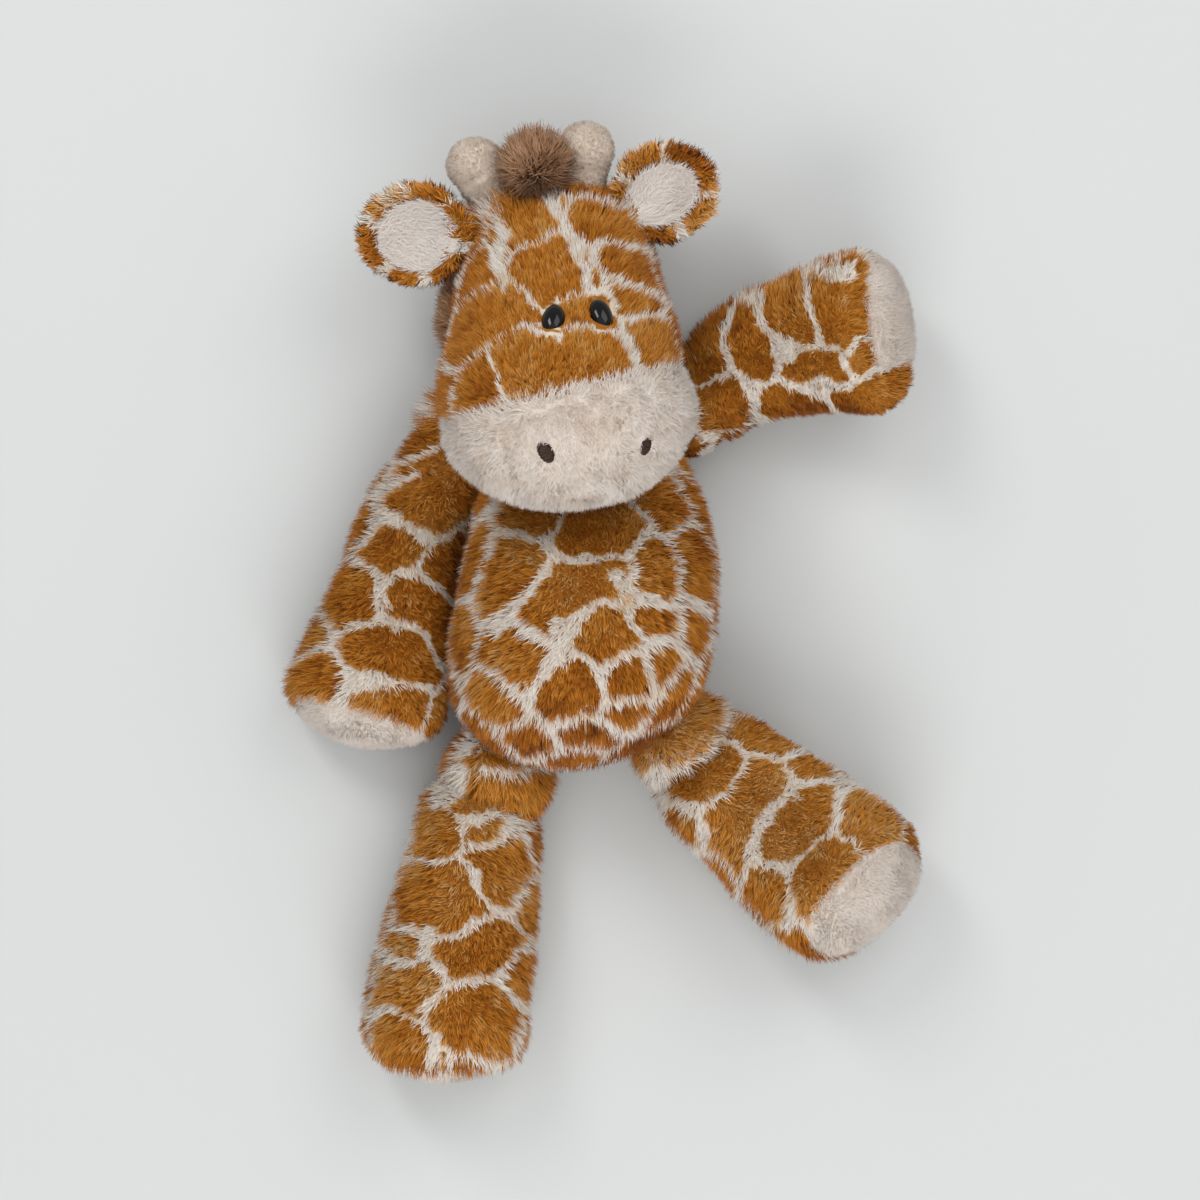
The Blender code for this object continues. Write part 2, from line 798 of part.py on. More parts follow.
# Whole toy
def build_giraffe():
    clear_scene()
    body_form = make_body_form()
    head_form = make_head_form()

    arm_size = limb_size(
        arm_length, arm_half_width, arm_half_depth, arm_ball_radius, arm_end_round,
        arm_station_shares, arm_width_shares, arm_depth_shares,
    )
    leg_size = limb_size(
        leg_length, leg_half_width, leg_half_depth, leg_ball_radius, leg_end_round,
        leg_station_shares, leg_width_shares, leg_depth_shares,
    )
    arm_left_along = neck_end - shoulder_left_back_from_end
    arm_right_along = neck_end - shoulder_right_back_from_end
    leg_left_along = hip_left_back_from_seat - body_seat_reach
    leg_right_along = hip_right_back_from_seat - body_seat_reach
    seats = {
        "arm_left": (arm_size, arm_left_along, shoulder_left_turn, arm_ball_height),
        "arm_right": (arm_size, arm_right_along, shoulder_right_turn, arm_ball_height),
        "leg_left": (leg_size, leg_left_along, hip_left_turn, leg_ball_height),
        "leg_right": (leg_size, leg_right_along, hip_right_turn, leg_ball_height),
    }
    routes = {
        "arm_left": (arm_left_along_shares, arm_left_aside_shares, arm_left_rise_shares),
        "arm_right": (arm_right_along_shares, arm_right_aside_shares, arm_right_rise_shares),
        "leg_left": (leg_left_along_shares, leg_left_aside_shares, leg_left_rise_shares),
        "leg_right": (leg_right_along_shares, leg_right_aside_shares, leg_right_rise_shares),
    }
    ends = {
        "arm_left": (arm_left_heading, arm_left_pad_lean),
        "arm_right": (arm_right_heading, arm_right_pad_lean),
        "leg_left": (leg_left_heading, leg_left_pad_lean),
        "leg_right": (leg_right_heading, leg_right_pad_lean),
    }
    limbs = []
    for name, (size, along, turn, height) in seats.items():
        ball_centre = seat_ball(body_form, along, turn, height, size["ball_radius"])
        limbs.append(Limb(name, with_route(size, *routes[name]), ball_centre, *ends[name]))

    sockets = [limb.build(body_form) for limb in limbs]

    neck_along = neck_end - neck_back_from_end
    neck_top, _ = body_form.surface_below(body_path(neck_along / body_length).x, neck_along)
    neck_centre = neck_top - Vector((0, 0, neck_sink))
    add_object("neck", ball_mesh(neck_centre, neck_radius), spot_brown)
    neck_socket = socket_mesh(neck_centre, neck_radius)

    body_skin = cut(body_form.shell_mesh(), neck_socket, floor_mesh(), *sockets)
    add_object("body_skin", body_skin, spot_brown)
    body_stuffing = cut(body_form.mesh(-(wall + gap)), neck_socket, *sockets)
    add_object("body_stuffing", body_stuffing, fibre_white)

    eyes = []
    for side, half in (("left", -0.5), ("right", 0.5)):
        place, normal = face_place(head_form, eye_along_share, eye_middle_aside + eye_apart * half)
        make_eye(side, place, normal)
        eyes.append((place, normal))
        place, normal = face_place(
            head_form, nostril_along_share, nostril_middle_aside + nostril_apart * half
        )
        foot = gap + skin_sag(nostril_half_height)
        nostril = oval_dome_mesh(
            place, normal, nostril_half_width, nostril_half_height, nostril_thickness, foot
        )
        add_object("nostril_" + side, nostril, thread_brown)

    holes = [eye_hole_mesh(place, normal) for place, normal in eyes]
    pockets = [eye_pocket_mesh(place, normal) for place, normal in eyes]
    head_shell = cut(head_form.shell_mesh(), neck_socket, floor_mesh())
    head_skin = cut(keep(head_shell, muzzle_side_mesh(1, gap * 0.5)), *holes)
    add_object("head_skin", head_skin, spot_brown)
    add_object("muzzle", keep(head_shell, muzzle_side_mesh(-1, gap * 0.5)), cream)
    head_stuffing = cut(head_form.mesh(-(wall + gap)), neck_socket, *pockets)
    add_object("head_stuffing", head_stuffing, fibre_white)

    add_object("horn_left", horn_mesh(head_form, horn_left_place, 0.0), horn_beige, 0.8)
    add_object("horn_right", horn_mesh(head_form, horn_right_place, 0.0), horn_beige, 0.8)
    add_object("forelock", make_forelock(head_form), hair_brown)
    add_object("mane", make_mane(head_form), hair_brown)

    names = ["neck", "head_skin", "muzzle", "head_stuffing", "forelock", "mane"]
    for piece in ("eye", "eye_washer", "nostril", "horn"):
        names += [piece + "_left", piece + "_right"]
    neck_pivot = add_pivot("neck_pivot", neck_centre, names)
    make_ear("left", head_form, ear_left_place, ear_left_heading, neck_pivot)
    make_ear("right", head_form, ear_right_place, ear_right_heading, neck_pivot)


build_giraffe()
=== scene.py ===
"""Looks for the plush giraffe: cloth skins with giraffe-patterned pile made of fine tapered strands.

Lengths are in metres, named in millimetres times MM. Spot places are pixels of a 1200 by 1200 view from above.
"""
import math

import bmesh
import bpy
import numpy as np
from mathutils import Matrix, Vector
from mathutils.bvhtree import BVHTree
from mathutils.kdtree import KDTree


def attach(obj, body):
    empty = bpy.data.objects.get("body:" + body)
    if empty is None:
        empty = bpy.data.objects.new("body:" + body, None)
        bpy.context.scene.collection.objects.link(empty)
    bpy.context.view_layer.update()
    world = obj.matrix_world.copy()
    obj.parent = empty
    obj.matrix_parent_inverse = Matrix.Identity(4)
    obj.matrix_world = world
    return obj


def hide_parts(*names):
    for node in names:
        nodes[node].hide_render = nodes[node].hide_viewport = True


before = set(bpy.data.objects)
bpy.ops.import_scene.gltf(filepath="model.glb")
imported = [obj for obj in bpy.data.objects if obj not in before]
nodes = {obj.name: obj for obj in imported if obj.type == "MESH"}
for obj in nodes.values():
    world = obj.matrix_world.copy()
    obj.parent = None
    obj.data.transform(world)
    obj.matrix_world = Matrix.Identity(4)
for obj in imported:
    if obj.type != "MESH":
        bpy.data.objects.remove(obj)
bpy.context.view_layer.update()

MM = 0.001

# Camera, straight above the toy
PHOTO_SIDE = 1200
PIXEL = 0.35 * MM
PIXEL_HEIGHT = 40 * MM
CAMERA_PLACE = Vector((8.75 * MM, 7.0 * MM, 1500 * MM))
SENSOR = 36.0

camera_data = bpy.data.cameras.new("camera")
camera = bpy.data.objects.new("camera", camera_data)
bpy.context.scene.collection.objects.link(camera)
camera.location = CAMERA_PLACE
camera_data.sensor_width = SENSOR
camera_data.lens = SENSOR * (CAMERA_PLACE.z - PIXEL_HEIGHT) / (PHOTO_SIDE * PIXEL)
camera_data.clip_start = 0.05
camera_data.clip_end = 20.0
bpy.context.scene.camera = camera


def pixel_ray(column, row):
    """The ray from the camera through a pixel of the view."""
    aim = Vector((
        CAMERA_PLACE.x + (column - PHOTO_SIDE / 2) * PIXEL,
        CAMERA_PLACE.y - (row - PHOTO_SIDE / 2) * PIXEL,
        PIXEL_HEIGHT,
    ))
    return CAMERA_PLACE, (aim - CAMERA_PLACE).normalized()


def pixels_of(points):
    """The column and row of the view at which each point is seen."""
    flat = (points[:, :2] - np.array(CAMERA_PLACE)[:2]) / (CAMERA_PLACE.z - points[:, 2:])
    flat *= (CAMERA_PLACE.z - PIXEL_HEIGHT) / PIXEL
    return np.stack([PHOTO_SIDE / 2 + flat[:, 0], PHOTO_SIDE / 2 - flat[:, 1]], 1)


# Smooth random fields
WAVES = 9


def field(points, size, seed):
    """Smooth noise of about -1 to 1, whose lumps measure about size."""
    rng = np.random.default_rng(seed)
    total = np.zeros(len(points))
    for _ in range(WAVES):
        way = rng.normal(size=3)
        way *= (0.6 + 0.9 * rng.random()) * math.pi / size / np.linalg.norm(way)
        total += np.sin(points @ way + rng.random() * 2 * math.pi)
    return total / math.sqrt(WAVES) * 0.9


def three_fields(points, size, seed):
    """A smooth random vector for each point."""
    return np.stack([field(points, size, seed + axis) for axis in range(3)], 1)


def smooth_step(low, high, x):
    t = np.clip((x - low) / (high - low), 0, 1)
    return t * t * (3 - 2 * t)


def unit(v):
    return v / np.maximum(np.linalg.norm(v, axis=-1, keepdims=True), 1e-12)


# Building meshes
def turns(count):
    """The angles of evenly spaced spokes."""
    return [2 * math.pi * step / count for step in range(count)]


def skin_rows(bm, rows, flip=False):
    """Lay faces between rings of points, where an end may close in one point, and return the last ring."""
    made = [[bm.verts.new(point) for point in row] for row in rows]
    for a, b in zip(made, made[1:]):
        count = max(len(a), len(b))
        for step in range(count):
            after = (step + 1) % count
            if len(a) == 1:
                face = a[0], b[step], b[after]
            elif len(b) == 1:
                face = a[step], b[0], a[after]
            else:
                face = a[step], b[step], b[after], a[after]
            bm.faces.new(face[::-1] if flip else face)
    return made[-1]


def new_mesh(name, bm, turn_out=False):
    """The finished mesh, with its faces turned outwards where asked."""
    if turn_out:
        bmesh.ops.recalc_face_normals(bm, faces=bm.faces)
    mesh = bpy.data.meshes.new(name)
    bm.to_mesh(mesh)
    bm.free()
    return mesh


def ball_mesh(name, centre, radius, segments, rings):
    bm = bmesh.new()
    bmesh.ops.create_uvsphere(bm, u_segments=segments, v_segments=rings, radius=radius)
    bmesh.ops.translate(bm, verts=bm.verts, vec=centre)
    return new_mesh(name, bm)


def in_ball(points, centre, radius):
    return np.linalg.norm(points - np.array(centre), axis=1) < radius


def read_array(items, what, kind=float, width=3):
    values = np.empty(len(items) * width, kind)
    items.foreach_get(what, values)
    return values.reshape(-1, width)


# The toy's sewn forms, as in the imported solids
def read_table(stations, values, share):
    last = len(stations) - 1
    index = 0
    while index < last - 1 and share > stations[index + 1]:
        index += 1
    span = stations[index + 1] - stations[index]
    place = (share - stations[index]) / span
    slopes = []
    for knot in (index, index + 1):
        before, after = max(knot - 1, 0), min(knot + 1, last)
        slopes.append((values[after] - values[before]) / (stations[after] - stations[before]) * span)
    square, cube = place * place, place ** 3
    return (
        values[index] * (2 * cube - 3 * square + 1) + slopes[0] * (cube - 2 * square + place)
        + values[index + 1] * (3 * square - 2 * cube) + slopes[1] * (cube - square)
    )


CAP_RINGS = 12


class Form:
    """A rounded skin along a path, as a fine mesh."""

    def __init__(self, path, half_width, half_depth, length, start_round, end_round, rings, segments, facing=None):
        self.path, self.facing = path, facing
        angles = [0.5 * math.pi * step / CAP_RINGS for step in range(1, CAP_RINGS + 1)]
        first, last = start_round / length, 1 - end_round / length
        shares = [(start_round * (1 - math.cos(angle)) / length, math.sin(angle)) for angle in angles]
        shares += [(first + (last - first) * step / rings, 1.0) for step in range(1, rings)]
        shares += [(1 - end_round * (1 - math.cos(angle)) / length, math.sin(angle)) for angle in angles[::-1]]
        rows = [[path(0.0)]]
        for share, draw in shares:
            centre, across, up = self.frame(share)
            wide, deep = half_width(share), half_depth(share)
            rows.append([centre + across * (math.cos(angle) * wide * draw) + up * (math.sin(angle) * deep * draw)
                         for angle in turns(segments)])
        bm = bmesh.new()
        skin_rows(bm, rows + [[path(1.0)]])
        bmesh.ops.recalc_face_normals(bm, faces=bm.faces)
        self.tree = BVHTree.FromBMesh(bm)
        self.mesh = new_mesh("form", bm)

    def frame(self, share):
        step = 0.01
        along = self.facing or (self.path(min(share + step, 1.0)) - self.path(max(share - step, 0.0))).normalized()
        across = along.cross(Vector((0, 0, 1))).normalized()
        return self.path(share), across, across.cross(along)


def heading(turn, lift=0.0):
    turn, lift = math.radians(turn), math.radians(lift)
    return Vector((math.cos(turn) * math.cos(lift), math.sin(turn) * math.cos(lift), math.sin(lift)))


FLOOR_CUT = 0.5 * MM
BODY_LENGTH, BODY_WIDTH, BODY_DEPTH, SEAT_REACH = 138 * MM, 43 * MM, 42 * MM, 49 * MM
BODY_STATIONS = (0.0, 0.15, 0.34, 0.47, 0.57, 0.66, 0.72, 0.79, 0.86, 0.94, 1.0)
BODY_WIDTHS = (0.90, 0.95, 1.0, 0.98, 0.91, 0.84, 0.77, 0.68, 0.59, 0.51, 0.47)
BODY_DEPTHS = (0.82, 0.95, 1.0, 0.985, 0.89, 0.785, 0.69, 0.56, 0.42, 0.275, 0.20)
BODY_ASIDES = (-0.105, -0.012, 0.07, 0.116, 0.128, 0.128, 0.12, 0.105, 0.08, 0.05, 0.03)


def body_path(share):
    depth = BODY_DEPTH * read_table(BODY_STATIONS, BODY_DEPTHS, share)
    aside = BODY_WIDTH * read_table(BODY_STATIONS, BODY_ASIDES, share)
    return Vector((aside, BODY_LENGTH * share - SEAT_REACH, depth - FLOOR_CUT))


body_form = Form(
    body_path,
    lambda share: BODY_WIDTH * read_table(BODY_STATIONS, BODY_WIDTHS, share),
    lambda share: BODY_DEPTH * read_table(BODY_STATIONS, BODY_DEPTHS, share),
    BODY_LENGTH, 30 * MM, 11 * MM, 70, 112, Vector((0, 1, 0)),
)

SKULL_RADIUS, SNOUT_WIDTH, SNOUT_DEPTH = 33.5 * MM, 40.5 * MM, 29 * MM
SKULL = Vector((-6 * MM, 118 * MM, 32.6 * MM))
SNOUT = SKULL + Vector((3 * MM, -48 * MM, 53 * MM))
HEAD_AXIS = (SNOUT - SKULL).normalized()
HEAD_BACK, HEAD_TIP = SKULL_RADIUS * 0.98, SNOUT_DEPTH * 0.98
HEAD_LENGTH = HEAD_BACK + (SNOUT - SKULL).length + HEAD_TIP
HEAD_STATIONS = (0.0, 0.25, 0.42, 0.56, 0.70, 0.82, 1.0)
HEAD_WIDTHS = (0.0, 0.02, 0.35, 0.80, 1.0, 1.0, 1.0)
HEAD_DEPTHS = (0.0, 0.05, 0.35, 0.70, 1.0, 1.0, 1.0)

head_form = Form(
    lambda share: SKULL + HEAD_AXIS * (HEAD_LENGTH * share - HEAD_BACK),
    lambda share: SKULL_RADIUS + (SNOUT_WIDTH - SKULL_RADIUS) * read_table(HEAD_STATIONS, HEAD_WIDTHS, share),
    lambda share: SKULL_RADIUS + (SNOUT_DEPTH - SKULL_RADIUS) * read_table(HEAD_STATIONS, HEAD_DEPTHS, share),
    HEAD_LENGTH, HEAD_BACK, HEAD_TIP, 44, 96,
)

# Limbs: size, ball centre in mm and heading, then the path's shares along, aside and up
ARM = {"length": 116, "width": 26.5, "depth": 19, "ball": 13.5, "round": 17,
       "widths": (0.49, 0.54, 0.62, 0.75, 0.90, 1.0, 1.0), "depths": (0.70, 0.76, 0.84, 0.92, 0.98, 1.0, 1.0)}
LEG = {"length": 105, "width": 25, "depth": 21, "ball": 18, "round": 17,
       "widths": (0.72, 0.74, 0.78, 0.90, 0.99, 1.0, 1.0), "depths": (0.84, 0.86, 0.90, 0.96, 1.0, 1.0, 1.0)}
LIMB_STATIONS = (0.0, 0.15, 0.30, 0.55, 0.75, 0.90, 1.0)
LIMBS = {
    "arm_left": (ARM, (-34.02, 64.86, 14.5), 248.3,
                 LIMB_STATIONS, (0.0, 0.04, 0.065, 0.045, 0.02, 0.01, 0.0), (0.0,) * 7),
    "arm_right": (ARM, (40.32, 71.45, 14.5), 23.0,
                  (0.0, 0.11, 0.215, 0.388, 0.522, 0.615, 0.67), (0.0, -0.05, -0.075, -0.065, -0.04, -0.015, 0.0),
                  (0.0, 0.0, 0.01, 0.05, 0.11, 0.17, 0.22)),
    "leg_left": (LEG, (-27.64, -55.81, 19.5), 260.0,
                 LIMB_STATIONS, (0.0, 0.03, 0.035, 0.035, 0.03, 0.015, 0.0), (0.0,) * 7),
    "leg_right": (LEG, (39.23, -43.77, 19.5), 321.0,
                  (0.0, 0.146, 0.277, 0.495, 0.656, 0.777, 0.85), (0.0, -0.025, -0.03, -0.025, -0.015, -0.005, 0.0),
                  (0.0, 0.0, 0.005, 0.04, 0.09, 0.14, 0.19)),
}
# The plane of each pad's seam: its lean up, its turn to the side and how far it is from the paw's tip
PAD_SEAMS = {"arm_left": (13, 0, 8.5), "arm_right": (-20, 0, 7.5), "leg_left": (-8, 0, 4), "leg_right": (4, 0, 8)}


class Limb:
    def __init__(self, name):
        size, ball, turn, along, aside, rise = LIMBS[name]
        self.name, self.size, self.shares = name, size, (along, aside, rise)
        self.ball = Vector(ball) * MM
        self.radius = size["ball"] * MM
        self.length = size["length"] * MM
        self.way, self.aside = heading(turn), heading(turn - 90)
        self.form = Form(self.path, self.half_width, self.half_depth, self.length, self.radius,
                         size["round"] * MM, 44, 72)

    def half_width(self, share):
        return self.size["width"] * MM * read_table(LIMB_STATIONS, self.size["widths"], share)

    def half_depth(self, share):
        return self.size["depth"] * MM * read_table(LIMB_STATIONS, self.size["depths"], share)

    def path(self, share):
        along, aside, rise = (self.length * read_table(LIMB_STATIONS, table, share) for table in self.shares)
        lying = self.half_depth(share) * math.cos(math.pi / 18) - FLOOR_CUT
        height = self.ball.z + (lying - self.ball.z) * min(1.0, share / LIMB_STATIONS[2]) + rise
        flat = self.ball + self.way * along + self.aside * aside
        return Vector((flat.x, flat.y, height))

    def past_seam(self, points):
        """How far each point is past the plane of the pad's seam."""
        lean, turn, depth = PAD_SEAMS[self.name]
        tip = self.path(1.0)
        toward = (tip - self.path(0.9)).normalized()
        across = toward.cross(Vector((0, 0, 1))).normalized()
        lean, turn = math.radians(lean), math.radians(turn)
        facing = (toward * math.cos(turn) + across * math.sin(turn)) * math.cos(lean)
        facing += across.cross(toward) * math.sin(lean)
        past = (points - np.array(tip - toward * (depth * MM))) @ np.array(facing)
        if self.name == "arm_right":
            past = np.minimum(past, 16 * MM - 0.52 * past - (points - np.array(tip)) @ np.array(across))
        return past


limbs = {name: Limb(name) for name in LIMBS}
NECK, NECK_RADIUS = Vector((5.49, 78.0, 23.62)) * MM, 14 * MM

# Muzzle seam
MUZZLE_SEAM = SKULL.lerp(SNOUT, 0.86)
MUZZLE_TURN = math.radians(13.5)
MUZZLE_FACING = np.array((math.sin(MUZZLE_TURN), -math.cos(MUZZLE_TURN), 0.0))


def past_muzzle_seam(points):
    return (points - np.array(MUZZLE_SEAM)) @ MUZZLE_FACING


# Materials
CHART = "OFBake"
CHART_SIDE = 1024  # its width in texels, of which a strand takes two


def sockets(material):
    material.use_nodes = True
    tree = material.node_tree
    return tree, tree.nodes, tree.links, tree.nodes["Principled BSDF"]


def linear(red, green, blue):
    parts = []
    for value in (red, green, blue):
        value /= 255
        parts.append(value / 12.92 if value <= 0.04045 else ((value + 0.055) / 1.055) ** 2.4)
    return (*parts, 1.0)


def set_ramp(ramp, stops):
    ramp.color_ramp.elements[0].position = stops[0][0]
    ramp.color_ramp.elements[0].color = stops[0][1]
    ramp.color_ramp.elements[1].position = stops[-1][0]
    ramp.color_ramp.elements[1].color = stops[-1][1]
    for place, colour in stops[1:-1]:
        ramp.color_ramp.elements.new(place).color = colour


def pile_material(name, stops, painted_root_shade, sheen, specular, pale_root=None):
    """Pile whose colour runs along a chart: across it by tone, and up it from a painted shade at the root to the full
    colour at the tip.

    pale_root is the painted root shade of the strands with low tones, where it differs.
    """
    material = bpy.data.materials.new(name)
    tree, made, links, shader = sockets(material)
    chart = made.new("ShaderNodeUVMap")
    chart.uv_map = CHART
    split = made.new("ShaderNodeSeparateXYZ")
    tone = made.new("ShaderNodeValToRGB")
    set_ramp(tone, stops)
    shade = made.new("ShaderNodeMapRange")
    shade.inputs["To Min"].default_value = painted_root_shade
    shade.inputs["From Max"].default_value = 0.8
    mix = made.new("ShaderNodeMix")
    mix.data_type, mix.blend_type = "RGBA", "MULTIPLY"
    mix.inputs["Factor"].default_value = 1.0
    links.new(chart.outputs["UV"], split.inputs[0])
    links.new(split.outputs["X"], tone.inputs["Fac"])
    links.new(split.outputs["Y"], shade.inputs["Value"])
    if pale_root:
        by_tone = made.new("ShaderNodeMapRange")
        by_tone.inputs["From Min"].default_value = 0.34
        by_tone.inputs["From Max"].default_value = 0.42
        by_tone.inputs["To Min"].default_value = pale_root
        by_tone.inputs["To Max"].default_value = painted_root_shade
        links.new(split.outputs["X"], by_tone.inputs["Value"])
        links.new(by_tone.outputs["Result"], shade.inputs["To Min"])
    links.new(tone.outputs["Color"], mix.inputs[6])
    links.new(shade.outputs["Result"], mix.inputs[7])
    links.new(mix.outputs[2], shader.inputs["Base Color"])
    shader.inputs["Roughness"].default_value = 0.75
    shader.inputs["Sheen Weight"].default_value = sheen
    shader.inputs["Sheen Roughness"].default_value = 0.5
    shader.inputs["Specular IOR Level"].default_value = specular
    return material


SPOT_STOPS = (
    (0.0, linear(247, 239, 229)), (0.22, linear(236, 223, 208)), (0.36, linear(226, 186, 132)),
    (0.48, linear(224, 158, 76)), (0.62, linear(210, 132, 40)), (0.80, linear(170, 96, 28)), (1.0, linear(94, 46, 15)),
)
CREAM_STOPS = ((0.0, linear(249, 241, 234)), (0.5, linear(230, 216, 203)), (1.0, linear(196, 174, 152)))
HORN_STOPS = ((0.0, linear(230, 215, 200)), (0.6, linear(216, 199, 182)), (1.0, linear(186, 164, 145)))
HAIR_STOPS = ((0.0, linear(198, 158, 124)), (0.5, linear(166, 124, 92)), (1.0, linear(104, 70, 48)))

spotted = pile_material("spotted_pile", SPOT_STOPS, 0.34, sheen=0.03, specular=0.08, pale_root=0.72)
cream = pile_material("cream_pile", CREAM_STOPS, 0.84, sheen=0.10, specular=0.2)
horn_velour = pile_material("horn_velour", HORN_STOPS, 0.82, sheen=0.06, specular=0.1)
hair = pile_material("hair_pile", HAIR_STOPS, 0.52, sheen=0.04, specular=0.12)


def plain_material(name, dark, light, size, roughness, bump=0.0, specular=0.5, detail=3.0):
    """A material with a fine noise in its colour and, where asked, its surface."""
    material = bpy.data.materials.new(name)
    tree, made, links, shader = sockets(material)
    place = made.new("ShaderNodeTexCoord")
    noise = made.new("ShaderNodeTexNoise")
    noise.inputs["Scale"].default_value = 1 / size
    noise.inputs["Detail"].default_value = detail
    ramp = made.new("ShaderNodeValToRGB")
    set_ramp(ramp, ((0.3, dark), (0.7, light)))
    links.new(place.outputs["Object"], noise.inputs["Vector"])
    links.new(noise.outputs["Fac"], ramp.inputs["Fac"])
    links.new(ramp.outputs["Color"], shader.inputs["Base Color"])
    shader.inputs["Roughness"].default_value = roughness
    shader.inputs["Specular IOR Level"].default_value = specular
    if bump:
        lift = made.new("ShaderNodeBump")
        lift.inputs["Strength"].default_value = bump
        lift.inputs["Distance"].default_value = 0.2 * MM
        links.new(noise.outputs["Fac"], lift.inputs["Height"])
        links.new(lift.outputs["Normal"], shader.inputs["Normal"])
    return material


eye_black = plain_material("eye_plastic", linear(5, 4, 4), linear(14, 10, 9), 1.5 * MM, 0.06, specular=0.3)
thread_brown = plain_material("thread", linear(26, 15, 10), linear(66, 41, 29), 0.6 * MM, 0.42, bump=0.4, specular=0.2)
washer_white = plain_material("washer_plastic", linear(205, 205, 200), linear(225, 225, 222), 2 * MM, 0.5, bump=0.05)


# Surfaces that pile grows from
class Surface:
    def __init__(self, mesh):
        mesh.calc_loop_triangles()
        self.points = read_array(mesh.vertices, "co")
        self.normals = read_array(mesh.vertices, "normal")
        self.corners = read_array(mesh.loop_triangles, "vertices", int)
        a, b, c = (self.points[self.corners[:, k]] for k in range(3))
        self.areas = np.linalg.norm(np.cross(b - a, c - a), axis=1) / 2

    def tree(self):
        return BVHTree.FromPolygons(self.points.tolist(), self.corners.tolist())

    def scatter(self, per_mm2, rng, weight=None):
        """Even random places on the surface, with its outward normal at each."""
        share = self.areas if weight is None else self.areas * weight[self.corners].mean(1)
        total = share.sum()
        count = int(total / MM ** 2 * per_mm2)
        steps = (np.arange(count) + rng.random(count)) / count * total
        face = np.minimum(np.searchsorted(np.cumsum(share), steps), len(share) - 1)
        u, v = rng.random(count), rng.random(count)
        over = u + v > 1
        u[over], v[over] = 1 - u[over], 1 - v[over]
        weights = np.stack([1 - u - v, u, v], 1)[:, :, None]
        corners = self.corners[face]
        return (self.points[corners] * weights).sum(1), unit((self.normals[corners] * weights).sum(1))


# Cloth stays this far above the floor, so that the pile below it has room
CLOTH_LIFT = 2.2 * MM


def shift_mesh(mesh, moves):
    """Move each vertex along its normal, and return the surface that this gives."""
    surface = Surface(mesh)
    points = surface.points + surface.normals * moves[:, None]
    points[:, 2] = np.maximum(points[:, 2], CLOTH_LIFT)
    mesh.vertices.foreach_set("co", points.ravel())
    mesh.update()
    return Surface(mesh)


def add_lumps(mesh, height, size, seed):
    """Raise the skin in soft lumps, in millimetres."""
    return shift_mesh(mesh, height * MM * field(Surface(mesh).points, size * MM, seed))


def link(name, mesh, material):
    thing = bpy.data.objects.new(name, mesh)
    mesh.materials.clear()
    mesh.materials.append(material)
    bpy.context.scene.collection.objects.link(thing)
    return thing


def chart_cloth(mesh, tones, height=0.22):
    """Give a cloth mesh the chart that its pile's material reads, low on the run from root to tip, so that the cloth
    takes the pile's painted root shade.
    """
    chart = mesh.uv_layers.new(name=CHART)
    vertex = read_array(mesh.loops, "vertex_index", int, 1)[:, 0]
    step = np.linspace(-0.03, 0.03, 7)[np.arange(len(vertex)) % 7]
    places = np.stack([np.clip(tones[vertex], 0, 1), height + step], 1)
    chart.uv.foreach_set("vector", places.astype(np.float32).ravel())


def add_piece(name, mesh, material, body, stands_for=()):
    """A piece that rides on a body, in place of the CAD nodes that it stands for."""
    thing = link(name, mesh, material)
    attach(thing, body)
    if stands_for:
        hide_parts(*stands_for)
    return thing


def make_cloth(name, mesh, material, body, tones, stands_for):
    chart_cloth(mesh, tones)
    mesh.shade_smooth()
    add_piece(name + "_cloth", mesh, material, body, stands_for)


MOST_STRANDS = 60000  # in one mesh
ROOT_DEPTH = 0.4 * MM
CLUMPS_PER_MM2 = 0.12  # for clumps of 1 mm
STEEPEST = math.radians(88)
ARCH = math.radians(25)
# Tones: brown from here on, and the darkest cream and palest brown after the painted side shade
BROWN_FROM, DARKEST_CREAM, PALEST_BROWN = 0.4, 0.33, 0.42


def lay_strands(name, points, outward, levels, tones, material, body):
    """One mesh of strands: each a run of three-cornered rings that closes in a tip."""
    count, corners = points.shape[:2]
    mesh = bpy.data.meshes.new(name)
    mesh.vertices.add(count * corners)
    mesh.vertices.foreach_set("co", points.astype(np.float32).ravel())
    pattern, starts, sizes, sides, heights = [], [], [], [], []
    for ring in range(len(levels) - 1):
        for corner in range(3):
            low, after = 3 * ring + corner, 3 * ring + (corner + 1) % 3
            starts.append(len(pattern))
            if ring == len(levels) - 2:
                sizes.append(3)
                pattern += [low, after, corners - 1]
                sides += [-1, 1, 0]
                heights += [levels[ring], levels[ring], levels[-1]]
            else:
                sizes.append(4)
                pattern += [low, after, after + 3, low + 3]
                sides += [-1, 1, 1, -1]
                heights += [levels[ring], levels[ring], levels[ring + 1], levels[ring + 1]]
    run = np.arange(count)[:, None]
    mesh.loops.add(count * len(pattern))
    mesh.loops.foreach_set("vertex_index", (np.array(pattern)[None] + corners * run).astype(np.int32).ravel())
    mesh.polygons.add(count * len(sizes))
    mesh.polygons.foreach_set("loop_start", (np.array(starts)[None] + len(pattern) * run).astype(np.int32).ravel())
    mesh.polygons.foreach_set("loop_total", np.tile(np.array(sizes, np.int32), count))
    chart = mesh.uv_layers.new(name=CHART)
    across = np.clip(tones, 0.004, 0.996)[:, None] + np.array(sides)[None] / CHART_SIDE
    places = np.stack([across, np.broadcast_to(heights, across.shape)], 2)
    chart.uv.foreach_set("vector", places.astype(np.float32).ravel())
    mesh.update(calc_edges=True)
    mesh.shade_smooth()
    mesh.normals_split_custom_set_from_vertices(outward.reshape(-1, 3).astype(np.float32))
    add_piece(name, mesh, material, body)


